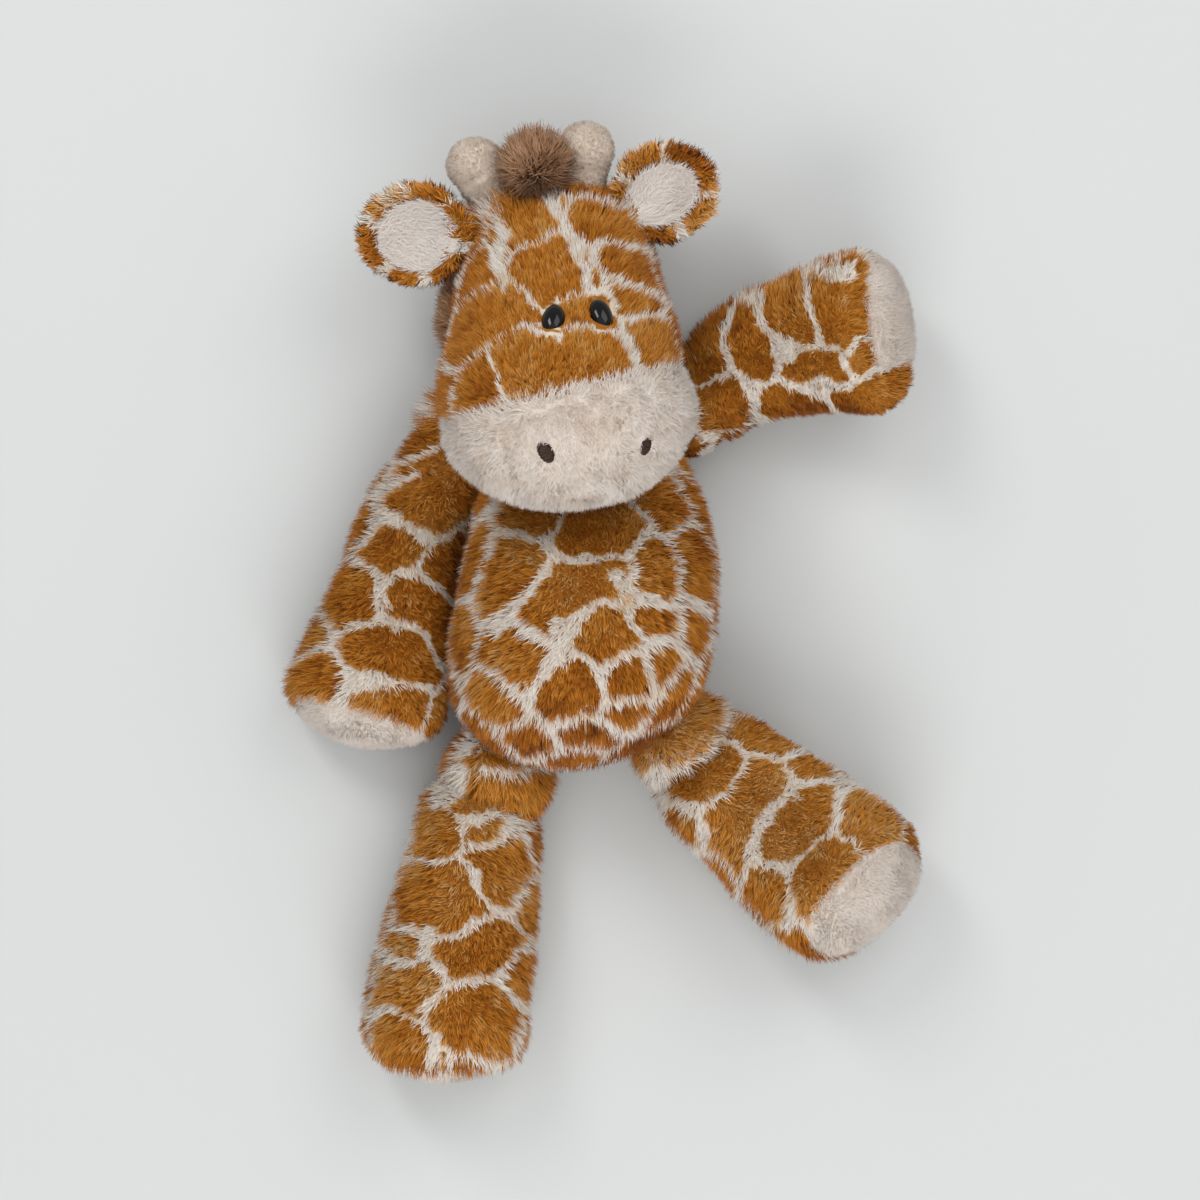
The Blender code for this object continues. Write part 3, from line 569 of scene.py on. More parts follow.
def make_pile(name, roots, normals, comb, tones, material, body, rng, length, lean,
              width=0.46 * MM, spread=24, swirl=30, clump=0.45, clump_size=2.2 * MM, mottle=0.065, bent=False):
    """Fine tapered strands that stand on their roots and lie over along comb.

    comb, length and lean, the angle in degrees between strand and skin, are per strand or one value.
    """
    count = len(roots)
    length = np.broadcast_to(length, count) * (0.75 + 0.5 * rng.random(count))
    is_brown = tones > BROWN_FROM
    comb = unit(comb - (comb * normals).sum(1, keepdims=True) * normals)
    side = np.cross(normals, comb)
    swing = np.radians(rng.normal(0, spread, count) + swirl * field(roots, 16 * MM, 5))
    comb = comb * np.cos(swing)[:, None] + side * np.sin(swing)[:, None]
    lean = np.broadcast_to(lean, count) + rng.normal(0, 10, count) + 8 * field(roots, 11 * MM, 15)
    rise = np.radians(np.clip(lean, 8, 86))
    lifted = np.minimum(rise + ARCH, STEEPEST)
    tips, bend = (roots + (comb * np.cos(angle)[:, None] + normals * np.sin(angle)[:, None]) * reach[:, None]
                  for angle, reach in ((rise, length), (lifted, 0.5 * length)))
    if clump:
        picks = rng.permutation(count)[: max(int(count * CLUMPS_PER_MM2 / (clump_size / MM) ** 2), 8)]
        tree = KDTree(len(picks))
        for at, pick in enumerate(picks):
            tree.insert(roots[pick], at)
        tree.balance()
        nearest = picks[np.array([tree.find(root)[1] for root in roots])]
        pull = (clump * (0.3 + 0.9 * rng.random(count)))[:, None]
        near = np.linalg.norm(tips[nearest] - tips, axis=1, keepdims=True)
        pull = pull * np.clip(1.6 - near / (2 * clump_size), 0, 1)
        tips = tips + (tips[nearest] - tips) * pull
        bend = bend + (bend[nearest] - bend) * (pull * 0.35)
        tones = tones + rng.normal(0, mottle, count)[nearest]
    if material is spotted:
        # painted shade: brown strands are darker where the skin faces sideways or towards the bottom of the view
        painted_side_shade = 0.12 * smooth_step(0.6, 0.0, normals[:, 2]) + 0.12 * smooth_step(0.2, 0.9, -normals[:, 1])
        tones = np.where(is_brown, np.maximum(tones + painted_side_shade, PALEST_BROWN), np.minimum(tones, DARKEST_CREAM))
    levels = np.array((0.0, 0.55, 1.0) if bent else (0.0, 1.0))
    taper = (1.0, 0.78) if bent else (1.0,)
    start = roots - normals * ROOT_DEPTH
    along = unit(tips - start)
    flat = unit(np.cross(along, normals))
    rise_side = np.cross(along, flat)
    turn = rng.random(count) * 2 * math.pi
    half = 0.5 * np.broadcast_to(width, count) * (0.7 + 0.6 * rng.random(count))
    rings, facings = [], []
    for level, thick in zip(levels[:-1], taper):
        centre = start * (1 - level) ** 2 + bend * (2 * level * (1 - level)) + tips * level ** 2
        for corner in range(3):
            angle = (turn + corner * 2 * math.pi / 3)[:, None]
            spoke = flat * np.cos(angle) + rise_side * np.sin(angle)
            rings.append(centre + spoke * (half * thick)[:, None])
            facings.append(unit(0.75 * normals + 0.45 * spoke))
    points = np.stack(rings + [tips], 1)
    outward = np.stack(facings + [unit(0.75 * normals + 0.45 * along)], 1)
    low = (0.4 + 1.1 * rng.random(count))[:, None] * MM
    points[:, :, 2] = np.maximum(points[:, :, 2], low)
    order = np.argsort(roots[:, 1], kind="stable")
    share = math.ceil(count / MOST_STRANDS)
    for part, chosen in enumerate(np.array_split(order, share)):
        tail = "_pile_" + "abcdef"[part] if share > 1 else "_pile"
        lay_strands(name + tail, points[chosen], outward[chosen], levels, tones[chosen], material, body)


# Giraffe pattern
DARK_STRANDS = 0.05  # share of thin dark streaks, in the cream lines too


class Spots:
    """Brown patches round chosen places, with cream lines between them.

    A place is a pixel, with its size where its patch is larger or smaller than most, and a second pixel where
    the patch is long. A stroke is a cream area between two pixels, with its half width in pixels.
    """

    def __init__(self, tree, surface, pixels, seed, apart=22 * MM, reach=17 * MM, line=2.7, strokes=(), shade=0.62):
        places, ends, sizes = [], [], []
        for column, row, *more in pixels:
            hit = tree.ray_cast(*pixel_ray(column, row))[0]
            far = tree.ray_cast(*pixel_ray(*more[1:]))[0] if len(more) > 1 else hit
            if hit is not None and far is not None:
                places.append(np.array(hit))
                ends.append(np.array(far))
                sizes.append(more[0] if more else 1.0)
        rng = np.random.default_rng(seed)
        shown = len(places)
        for point, normal in zip(*surface.scatter(0.12, rng)):
            seen = normal[2] > 0.25 and shown
            near = min((min(np.linalg.norm(point - place), np.linalg.norm(point - end))
                        for place, end in zip(places, ends)), default=1.0)
            if near > apart * (1.3 if seen else 0.95):
                places.append(point)
                ends.append(point)
                sizes.append(0.9 + 0.2 * rng.random())
        self.sizes, self.ends = np.array(sizes), np.array(ends)
        self.darks = rng.random(len(places))
        self.places = np.array(places)
        self.seed, self.reach, self.line, self.strokes, self.shade = seed, reach, line, strokes, shade

    def brown(self, points):
        """How brown each place is, from 0 on a cream line to 1 in a patch, and its patch."""
        wobble = three_fields(points, 8 * MM, self.seed) * (1.3 * MM)
        fine = three_fields(points, 3 * MM, self.seed + 5) * (0.45 * MM)
        first = np.full(len(points), 1.0)
        second, patch = first.copy(), np.zeros(len(points), int)
        for at, (place, end, size) in enumerate(zip(self.places, self.ends, self.sizes)):
            off, way = points + wobble + fine - place, end - place
            share = np.clip(off @ way / max(way @ way, MM ** 2), 0, 1)
            away = np.linalg.norm(off - share[:, None] * way, axis=1) - self.reach * (size - 1) * 0.6
            nearer = away < first
            second = np.where(nearer, first, np.minimum(second, away))
            first = np.where(nearer, away, first)
            patch[nearer] = at
        wide = (self.line + 1.1 * field(points, 26 * MM, self.seed + 9)) * MM
        line = smooth_step(-0.5 * MM, 0.5 * MM, second - first - np.maximum(wide, 1.2 * MM))
        low = smooth_step(16 * MM, 6 * MM, points[:, 2])
        inside = smooth_step(0.8 * MM, -0.8 * MM, first - self.reach - 7 * MM * low)
        shown = line * inside
        seen = pixels_of(points + wobble)
        for column, row, to_column, to_row, half in self.strokes:
            start, way = np.array((column, row)), np.array((to_column - column, to_row - row))
            share = np.clip((seen - start) @ way / (way @ way), 0, 1)
            off = np.linalg.norm(seen - start - share[:, None] * way, axis=1)
            shown = np.where(points[:, 2] > 15 * MM, shown * smooth_step(-1.5, 1.5, off - half), shown)
        return shown, patch

    def tones(self, points, rng=None):
        """A tone for each place, cream below 0.35 and brown above 0.45, with grain where strands have rng."""
        brown, patch = self.brown(points)
        chance = rng.random(len(points)) if rng else np.full(len(points), 0.5)
        is_brown = brown > 0.10 + 0.80 * chance
        grain = rng.normal(0, 0.05, len(points)) if rng else 0.0
        edge = 0.10 * (1 - smooth_step(0.5, 1.0, brown))
        patches = self.shade + 0.09 * (self.darks[patch] - 0.5) + 0.045 * field(points, 12 * MM, self.seed + 20) - edge
        creams = 0.11 + 0.06 * field(points, 10 * MM, self.seed + 21)
        tones = np.where(is_brown, np.maximum(patches + grain, 0.44), np.clip(creams + grain, 0.0, 0.32))
        return np.clip(np.where(chance > 1 - DARK_STRANDS, 0.9, tones), 0, 1)


def turned_down(normals):
    """Fewer strands where the toy lies on the floor."""
    return np.where(normals[:, 2] < -0.6, 0.8, 1.0)


def keep_some(kept, *arrays):
    return [array[kept] for array in arrays]


def lumpy_tones(points, rng, base, lumps, size, seed, grain):
    """A tone for each strand of plain pile: soft lumps of a size in millimetres, and grain."""
    return np.clip(base + lumps * field(points, size * MM, seed) + rng.normal(0, grain, len(points)), 0, 1)


PLUSH_PER_MM2, FACE_PER_MM2, PAD_PER_MM2, HAIR_PER_MM2 = 2.1, 3.0, 4.2, 4.0

# Body
BODY_SPOTS = (
    (541, 513), (590, 535, 1.15, 615, 528), (665, 508, 1.1), (511, 574, 1.3), (535, 612, 0.95, 600, 577),
    (653, 554, 0.95, 659, 586), (690, 548, 0.95, 694, 582), (516, 655, 1.25), (604, 634, 1.15), (659, 614),
    (689, 622), (629, 678), (665, 661), (500, 699), (571, 691, 1.15), (462, 719), (527, 736, 1.05), (583, 731),
    (622, 706, 0.8), (478, 757), (465, 628), (714, 600), (673, 690), (569, 753),
)
BODY_STROKES = ((561, 622, 564, 655, 8), (616, 578, 634, 604, 7), (532, 694, 532, 714, 6), (497, 616, 503, 628, 6))
rng = np.random.default_rng(11)
body_surface = add_lumps(body_form.mesh, 0.6, 26, 3)
body_spots = Spots(body_form.tree, body_surface, BODY_SPOTS, 31, strokes=BODY_STROKES)
make_cloth("body", body_form.mesh, spotted, "body", body_spots.tones(body_surface.points),
           ("body_skin", "body_stuffing"))
roots, normals = body_surface.scatter(PLUSH_PER_MM2, rng, turned_down(body_surface.normals))
covered = in_ball(roots, NECK, NECK_RADIUS)
for limb in limbs.values():
    covered |= in_ball(roots, limb.ball, limb.radius)
roots, normals = keep_some(~covered, roots, normals)
comb = np.stack([0.35 * normals[:, 0], -np.ones(len(roots)), 0.2 * normals[:, 2]], 1)
top = smooth_step(0.3, 0.9, normals[:, 2])
make_pile("body", roots, normals, comb, body_spots.tones(roots, rng), spotted, "body", rng,
          length=(5.4 - 0.8 * top) * MM, lean=46 + 20 * top, clump=0.65, clump_size=1.7 * MM)

# Neck
neck_mesh = ball_mesh("neck", NECK, NECK_RADIUS - 1.2 * MM, 40, 24)
points = Surface(neck_mesh).points
add_lumps(neck_mesh, 0.5, 8, 4)
make_cloth("neck", neck_mesh, spotted, "neck", body_spots.tones(points), ("neck",))

# Head and muzzle
HEAD_SPOTS = (
    (529, 224, 1.1), (605, 234, 1.15), (516, 194, 0.8), (577, 194), (550, 281, 1.25), (470, 336, 1.1, 500, 318),
    (472, 256), (482, 226, 0.9), (484, 280, 0.9),
    (628, 270, 1.1), (535, 374, 1.25, 580, 367), (634, 314, 0.8), (656, 348, 1.15), (479, 399),
    (586, 319, 0.85), (676, 330, 0.9), (452, 296, 0.8),
)
HEAD_STROKES = ((506, 214, 500, 294, 5), (542, 192, 558, 218, 6), (558, 218, 574, 240, 5), (574, 240, 588, 290, 7),
                (525, 330, 560, 343, 3))
rng = np.random.default_rng(13)
head_surface = Surface(head_form.mesh)
past = past_muzzle_seam(head_surface.points)
puff = smooth_step(0, 14 * MM, past) * 2.0 * MM
groove = -1.4 * MM * np.exp(-(past / (2.2 * MM)) ** 2)
crown_puff = 3.2 * MM * smooth_step(0.25, 0.95, head_surface.normals[:, 1])
crown_puff *= smooth_step(0.15, 0.35, head_surface.points[:, 2] / (60 * MM))
lumps = 0.5 * MM * field(head_surface.points, 22 * MM, 6)
head_surface = shift_mesh(head_form.mesh, puff + crown_puff + groove + lumps)
head_tree = head_surface.tree()
head_spots = Spots(head_form.tree, head_surface, HEAD_SPOTS, 41, reach=22 * MM, line=2.2, strokes=HEAD_STROKES)


def part_of(mesh, wanted, name):
    """A copy of the mesh with only the faces wanted."""
    bm = bmesh.new()
    bm.from_mesh(mesh)
    bm.faces.ensure_lookup_table()
    bmesh.ops.delete(bm, geom=[bm.faces[at] for at in np.flatnonzero(~wanted)], context="FACES")
    return new_mesh(name, bm)


def cut_at_seam(mesh, past_seam, name, name_past):
    """The two parts of a mesh, before its seam and past it."""
    past = past_seam(read_array(mesh.polygons, "center")) > 0
    return part_of(mesh, ~past, name + "_cloth"), part_of(mesh, past, name_past + "_cloth")


head_mesh, muzzle_mesh = cut_at_seam(head_form.mesh, past_muzzle_seam, "head", "muzzle")
make_cloth("head", head_mesh, spotted, "head", head_spots.tones(Surface(head_mesh).points),
           ("head_skin", "head_stuffing"))
make_cloth("muzzle", muzzle_mesh, cream, "head", 0.5 + 0.2 * field(Surface(muzzle_mesh).points, 6 * MM, 8),
           ("muzzle",))

roots, normals = head_surface.scatter(FACE_PER_MM2, rng, turned_down(head_surface.normals))
beyond = past_muzzle_seam(roots)
EYE_PIXELS = (553.1, 319.0), (601.4, 314.4)
NOSTRIL_PIXELS = (545.7, 452.5), (645.9, 446.7)
# The tuft by the left ear and its half widths, and the mouth's middle, bend, half thickness and ends, in pixels
TUFT, TUFT_SIZE = np.array((494, 203)), np.array((26, 34))
MOUTH, MOUTH_BEND, MOUTH_THICK, MOUTH_ENDS = (574, 497), 0.008, 3.0, (547, 601)
eyes, nostrils = ([Vector(head_tree.ray_cast(*pixel_ray(*pixel))[0]) for pixel in pixels]
                  for pixels in (EYE_PIXELS, NOSTRIL_PIXELS))


def oval_distance(points, centre, half_width, half_height):
    flat = (points - np.array(centre))[:, :2] / np.array((half_width, half_height))
    return np.linalg.norm(flat, axis=1) + 10.0 * (points[:, 2] < centre.z - 12 * MM)


near_eye = np.minimum(*[oval_distance(roots, eye - Vector((0, 0.6 * MM, 0)), 3.8 * MM, 5.9 * MM) for eye in eyes])
kept = (beyond < 0) & (near_eye > 1.0) & ~in_ball(roots, NECK, NECK_RADIUS)
face_roots, face_normals, face_eye = keep_some(kept, roots, normals, near_eye)
front = smooth_step(0.2, 0.8, face_normals[:, 2])
length = (4.7 - 1.3 * front) * MM * np.clip(0.40 + 0.5 * (face_eye - 1), 0.40, 1)
seen = (pixels_of(face_roots) - TUFT) / TUFT_SIZE
by_ear = smooth_step(1.2, 0.5, np.linalg.norm(seen, axis=1)) * (face_roots[:, 2] > 28 * MM)
length = length + 6.0 * MM * by_ear
comb = -np.array(HEAD_AXIS) * (1 - by_ear[:, None]) + np.array((-0.8, 0.7, 0.35)) * by_ear[:, None]
make_pile("head", face_roots, face_normals, comb, head_spots.tones(face_roots, rng), spotted, "head", rng,
          length=length, lean=40 + 20 * front, width=0.42 * MM, clump=0.5, clump_size=1.6 * MM)

near_nostril = np.minimum(*[oval_distance(roots, nostril, *size)
                            for nostril, size in zip(nostrils, ((3.0 * MM, 3.5 * MM), (2.1 * MM, 3.2 * MM)))])
kept = (beyond >= 0) & (near_nostril > 0.8)
soft_roots, soft_normals, soft_nostril = keep_some(kept, roots, normals, near_nostril)
outward = unit(soft_roots - np.array(SNOUT)) + np.array((0, -0.5, 0.35))
by_seam = smooth_step(7 * MM, 0, past_muzzle_seam(soft_roots))
comb = outward + 0.5 * three_fields(soft_roots, 7 * MM, 51)
comb += by_seam[:, None] * np.array((-0.3, 2.2, 0.6))
seen = pixels_of(soft_roots)
columns, rows = seen.T
# The mouth crease: its strands are shorter, and darker as painted shade in the crease
mouth = np.exp(-((rows - MOUTH[1] + MOUTH_BEND * (columns - MOUTH[0]) ** 2) / MOUTH_THICK) ** 2)
mouth *= smooth_step(MOUTH_ENDS[0] - 5, MOUTH_ENDS[0] + 5, columns)
mouth *= smooth_step(MOUTH_ENDS[1] + 5, MOUTH_ENDS[1] - 5, columns) * (soft_normals[:, 2] > 0)
length = (3.3 + 1.6 * by_seam) * MM * np.clip(0.6 + 0.4 * (soft_nostril - 1), 0.6, 1) * (1 - 0.6 * mouth)
tones = 0.40 + 0.07 * field(soft_roots, 7 * MM, 54) + rng.normal(0, 0.07, len(soft_roots)) + 0.45 * mouth
make_pile("muzzle", soft_roots, soft_normals, comb, np.clip(tones, 0, 1), cream, "head", rng, length=length,
          lean=64 - 22 * by_seam, width=0.40 * MM, spread=40, clump=0.6, clump_size=1.7 * MM, mottle=0.09)

# Limbs
LIMB_SPOTS = {
    "arm_left": (
        (417, 500, 1.25, 450, 486), (393, 547, 1.15), (451, 565, 1.05), (350, 596, 1.1), (415, 602, 1.1, 444, 632),
        (313, 652, 1.0, 330, 628), (382, 658, 1.2, 415, 655), (317, 690, 1.2), (374, 698, 1.05, 404, 706),
        (420, 445, 1.1), (386, 476, 0.9), (362, 534, 0.9), (440, 712, 0.8),
    ),
    "arm_right": (
        (704, 358, 1.1, 718, 332), (748, 328, 1.05, 765, 352), (776, 300, 1.15, 795, 326), (836, 298, 1.2, 848, 326),
        (805, 372, 0.95, 828, 369), (860, 354, 0.8), (718, 405, 0.95, 750, 400), (764, 398, 1.05, 798, 394),
        (848, 395, 0.9, 894, 380), (806, 270, 0.9), (846, 259, 1.0), (882, 260, 0.8), (914, 340, 0.9), (703, 433),
    ),
    "leg_left": (
        (456, 757, 1.0, 497, 752), (484, 800, 1.0, 514, 790), (487, 826, 0.85), (546, 772, 0.8),
        (436, 836, 1.05), (503, 866, 1.35), (425, 890, 1.35, 450, 905), (521, 899, 0.85),
        (458, 952, 1.1, 494, 945), (393, 922, 0.8), (408, 946, 0.7),
        (513, 972, 0.8), (400, 985, 1.05, 428, 989), (374, 985, 0.8), (456, 1010, 1.15, 492, 1025), (372, 1035),
        (402, 1035, 1.05, 414, 1052), (463, 1064, 0.9), (517, 1048, 1.0), (544, 800, 0.9), (429, 779, 0.9),
        (537, 918, 0.7), (533, 994, 0.7),
    ),
    "leg_right": (
        (695, 741, 1.2), (745, 734, 1.0, 775, 746), (738, 714, 0.9), (695, 775, 0.9, 722, 760),
        (766, 775, 1.1, 742, 826), (808, 768, 1.0), (784, 832, 1.15, 822, 800), (855, 808, 1.2, 880, 832),
        (826, 878, 1.3), (702, 810, 0.9), (684, 834, 1.0), (752, 872, 0.9), (781, 888, 1.0), (785, 914, 0.9),
        (793, 948, 0.9), (911, 846, 0.9), (632, 737, 1.1, 652, 765), (652, 790, 1.0),
    ),
}
LIMB_STROKES = {
    "arm_left": ((433, 368, 440, 418, 4), (420, 472, 388, 490, 4), (388, 490, 383, 514, 5), (386, 584, 390, 606, 4)),
    "arm_right": ((780, 350, 790, 354, 8), (806, 282, 850, 272, 5), (797, 386, 832, 383, 5)),
    "leg_left": ((460, 770, 446, 802, 11), (480, 771, 540, 767, 4), (433, 932, 424, 955, 7), (438, 1038, 432, 1056, 6)),
    "leg_right": ((667, 776, 669, 812, 4), (772, 808, 769, 822, 4), (790, 776, 800, 792, 4)),
}
# Where a limb's skin is fuller: all round, and on the side that faces a given way, from its ball to its paw
LIMB_GIRTHS = {"arm_left": (0, 0, 0.2, 0.2, 0.2), "arm_right": (1.0, 2.5, 2.6, 1.0, 0),
               "leg_left": (0.5, 1.6, 1.5, 1.4, 1.2), "leg_right": (0, 0, 0, 0, 0)}
LIMB_PUFFS = {
    "arm_left": ((-0.95, 0.1, 0.0), (3.0, 2.6, 1.6, 2.0, 2.8)),
    "arm_right": ((0.2, 0.97, 0.0), (0.6, 1.0, 1.0, 1.0, 2.0)),
    "leg_left": ((-0.3, -0.95, 0.0), (0, 0.5, 1.4, 2.0, 2.2)),
    "leg_right": ((-0.63, -0.78, 0.0), (6.5, 9.0, 8.2, 7.0, 4.0)),
}
SHOULDER_WAY = np.array((-0.75, 0.62, 0.2))
for order, (name, limb) in enumerate(limbs.items()):
    rng = np.random.default_rng(60 + order)
    surface = Surface(limb.form.mesh)
    puff_way, puffs = LIMB_PUFFS[name]
    past = limb.past_seam(surface.points)
    groove = -1.2 * MM * np.exp(-(past / (2.0 * MM)) ** 2)
    share = (surface.points - np.array(limb.ball)) @ np.array(limb.way)
    share = 4 * share / share.max()
    puffed = np.interp(share, range(5), LIMB_GIRTHS[name])
    puffed += np.interp(share, range(5), puffs) * smooth_step(0.0, 0.9, surface.normals @ np.array(puff_way))
    lumps = 0.6 * MM * field(surface.points, 20 * MM, 70 + order)
    surface = shift_mesh(limb.form.mesh, groove + puffed * MM + lumps)
    spots = Spots(limb.form.tree, surface, LIMB_SPOTS[name], 80 + order, apart=20 * MM, reach=16 * MM,
                  strokes=LIMB_STROKES[name], shade=0.54 if "leg" in name else 0.61)
    sleeve_mesh, pad_mesh = cut_at_seam(limb.form.mesh, limb.past_seam, name, name + "_pad")
    make_cloth(name, sleeve_mesh, spotted, name, spots.tones(Surface(sleeve_mesh).points),
               (name + "_sleeve", name + "_stuffing"))
    make_cloth(name + "_pad", pad_mesh, cream, name,
               0.4 + 0.2 * field(Surface(pad_mesh).points, 6 * MM, 90 + order), (name + "_pad",))
    roots, normals = surface.scatter(PLUSH_PER_MM2, rng, turned_down(surface.normals))
    past = limb.past_seam(roots)
    roots, normals, past = keep_some((past < 0) & ~in_ball(roots, limb.ball, limb.radius), roots, normals, past)
    top = smooth_step(0.3, 0.9, normals[:, 2])
    slim = 1 - 0.4 * smooth_step(0.1, 0.8, -normals @ np.array(puff_way))
    by_pad = smooth_step(-4 * MM, 0, past)
    by_paw = smooth_step(-22 * MM, -6 * MM, past) if name == "arm_right" else 0 * past
    make_pile(name, roots, normals, np.array(limb.way), spots.tones(roots, rng), spotted, name, rng,
              length=(5.6 - 0.8 * top - 1.6 * by_paw) * slim * MM, lean=(46 + 20 * top) * (1 - 0.3 * by_pad),
              clump=0.65, clump_size=1.7 * MM)
    roots, normals = surface.scatter(PAD_PER_MM2, rng)
    roots, normals = keep_some(limb.past_seam(roots) > 0, roots, normals)
    comb = three_fields(roots, 12 * MM, 95) - (0, 0.3, 0)
    make_pile(name + "_pad", roots, normals, comb, lumpy_tones(roots, rng, 0.40, 0.06, 8, 98, 0.09), cream, name,
              rng, length=2.7 * MM, lean=58, width=0.38 * MM, spread=40, clump=0.3, clump_size=1.4 * MM, mottle=0.03)

    root_mesh = ball_mesh(name + "_root_cloth", limb.ball, limb.radius - 0.6 * MM, 44, 26)
    surface = Surface(root_mesh)
    across = surface.points - np.array(limb.ball)
    turn = np.arctan2(across[:, 2], across @ np.array(limb.aside))
    bulge = 3.6 * MM * smooth_step(0.3, 1.0, surface.normals @ SHOULDER_WAY) * (name == "arm_left")
    surface = shift_mesh(root_mesh, 0.5 * MM * np.sin(11 * turn) + bulge)
    make_cloth(name + "_root", root_mesh, spotted, name + "_root", spots.tones(surface.points), (name + "_root",))
    spots.reach = 26 * MM
    roots, normals = surface.scatter(2.0, rng, turned_down(surface.normals))
    shoulder = smooth_step(0.2, 0.9, normals @ SHOULDER_WAY) * (name == "arm_left")
    comb = np.array(limb.way) * (1 - shoulder[:, None]) + np.array((-1.0, 0.25, 0.0)) * shoulder[:, None]
    tucked = 0.6 * smooth_step(0.1, 0.7, -normals[:, 1]) if name == "arm_right" else 0.0
    make_pile(name + "_root", roots, normals, comb, spots.tones(roots, rng), spotted, name + "_root", rng,
              length=(5.4 + 5.0 * shoulder) * (1 - tucked) * MM, lean=42 + 15 * shoulder)

# Ears
EAR_LONG, EAR_WIDE, EAR_THICK = 18.6 * MM, 18 * MM, 2.4 * MM
EAR_MIDDLE = 15.0 * MM
EAR_RINGS, EAR_SPOKES = 14, 56
# Each ear: its hinge, its turn, how long and how wide it is, where its middle lies off its axis, and how wide
# its lining is and how far it is drawn in towards the head
EARS = {
    "left": ((-38.98, 133.27, 42.13), 180.5, 1.0, 0.88, (-0.4, 1.0, 0.0), 1.04, 0.60),
    "right": ((19.98, 141.47, 42.14), 27.0, 0.96, 0.84, (-2.9, 0.2, 0.0), 0.86, 0.50),
}


def ear_rows(middle, way, size, breadth, reach, lift, inward):
    """Rings of points on an ear's cup, from its middle out to reach, raised by lift.

    inward stretches the rings towards the head.
    """
    side = Vector((0, 0, 1)).cross(way)
    rows = []
    for ring in range(EAR_RINGS + 1):
        r = reach * ring / EAR_RINGS
        row = []
        for angle in turns(EAR_SPOKES if ring else 1):
            along, wide = math.cos(angle), math.sin(angle)
            narrow = 1 - (0.42 + 0.4 * inward) * smooth_step(0.25, 1.0, -along)
            rim = 4.2 * MM * r ** 3 * (0.8 + 0.5 * smooth_step(0.2, 1.0, -along))
            height = rim - 1.6 * MM * (1 - r * r) + lift
            stretch = 1 + inward * smooth_step(0.0, 1.0, -along)
            row.append(middle + way * (EAR_LONG * size * r * along * stretch)
                       + side * (EAR_WIDE * breadth * r * wide * narrow)
                       + Vector((0, 0, height)))
        rows.append(row)
    return rows


def cup_mesh(name, middle, way, size, breadth, reach, low, high, inward=0.0):
    """A closed cupped disc between two heights."""
    bm = bmesh.new()
    top, under = (skin_rows(bm, ear_rows(middle, way, size, breadth, reach, lift, inward), flip)
                  for lift, flip in ((high, False), (low, True)))
    for step in range(EAR_SPOKES):
        after = (step + 1) % EAR_SPOKES
        bm.faces.new((top[step], under[step], under[after], top[after]))
    return new_mesh(name, bm, turn_out=True)


for order, (side_name, (hinge, turn, size, breadth, aside, lining_breadth, drawn_in)) in enumerate(EARS.items()):
    rng = np.random.default_rng(110 + order)
    body = "ear_" + side_name
    hinge, way = Vector(hinge) * MM, heading(turn)
    middle = hinge + way * (EAR_MIDDLE * size) + Vector(aside) * MM
    outer = cup_mesh(body + "_cloth", middle, way, size, breadth, 1.0, -EAR_THICK, 0.0)
    surface = Surface(outer)
    spots = Spots(surface.tree(), surface, (), 120 + order, apart=13 * MM, reach=11 * MM, line=2.0)
    make_cloth(body, outer, spotted, body, spots.tones(surface.points), (body + "_outer",))
    lining = cup_mesh(body + "_lining_cloth", middle, way, size, breadth * lining_breadth, 0.76,
                      0.15 * MM, 0.6 * MM, inward=drawn_in)
    lining_surface = Surface(lining)
    lining_tree = lining_surface.tree()
    make_cloth(body + "_lining", lining, cream, body, 0.3 + 0.2 * field(lining_surface.points, 6 * MM, 130),
               (body + "_lining",))
    roots, normals = surface.scatter(FACE_PER_MM2, rng)
    out = roots - np.array(middle)
    out[:, 2] = 0
    above = normals[:, 2] > 0.2
    from_lining = np.array([lining_tree.find_nearest(Vector(root))[3] for root in roots])
    roots, normals, out, above = keep_some(~above | (from_lining > 1.0 * MM), roots, normals, out, above)
    tones = spots.tones(roots, rng)
    tones += np.where(tones > BROWN_FROM, 0.16 * field(roots, 9 * MM, 140 + order) + 0.05, 0)
    make_pile(body, roots, normals, unit(out) + 0.5 * np.array(way), np.clip(tones, 0, 1), spotted, body, rng,
              length=(np.where(above, 4.6, 5.4) - 1.6 * smooth_step(0.2, 0.9, -unit(out)[:, 1])) * MM,
              lean=34, width=0.44 * MM, bent=True)
    roots, normals = lining_surface.scatter(3.4, rng)
    roots, normals = keep_some(normals[:, 2] > 0.3, roots, normals)
    comb = unit(roots - np.array(hinge)) + 0.3 * rng.normal(size=(len(roots), 3))
    make_pile(body + "_lining", roots, normals, comb, lumpy_tones(roots, rng, 0.10, 0.08, 7, 150, 0.08), cream,
              body, rng, length=4.2 * MM, lean=36, width=0.42 * MM, clump=0.4)

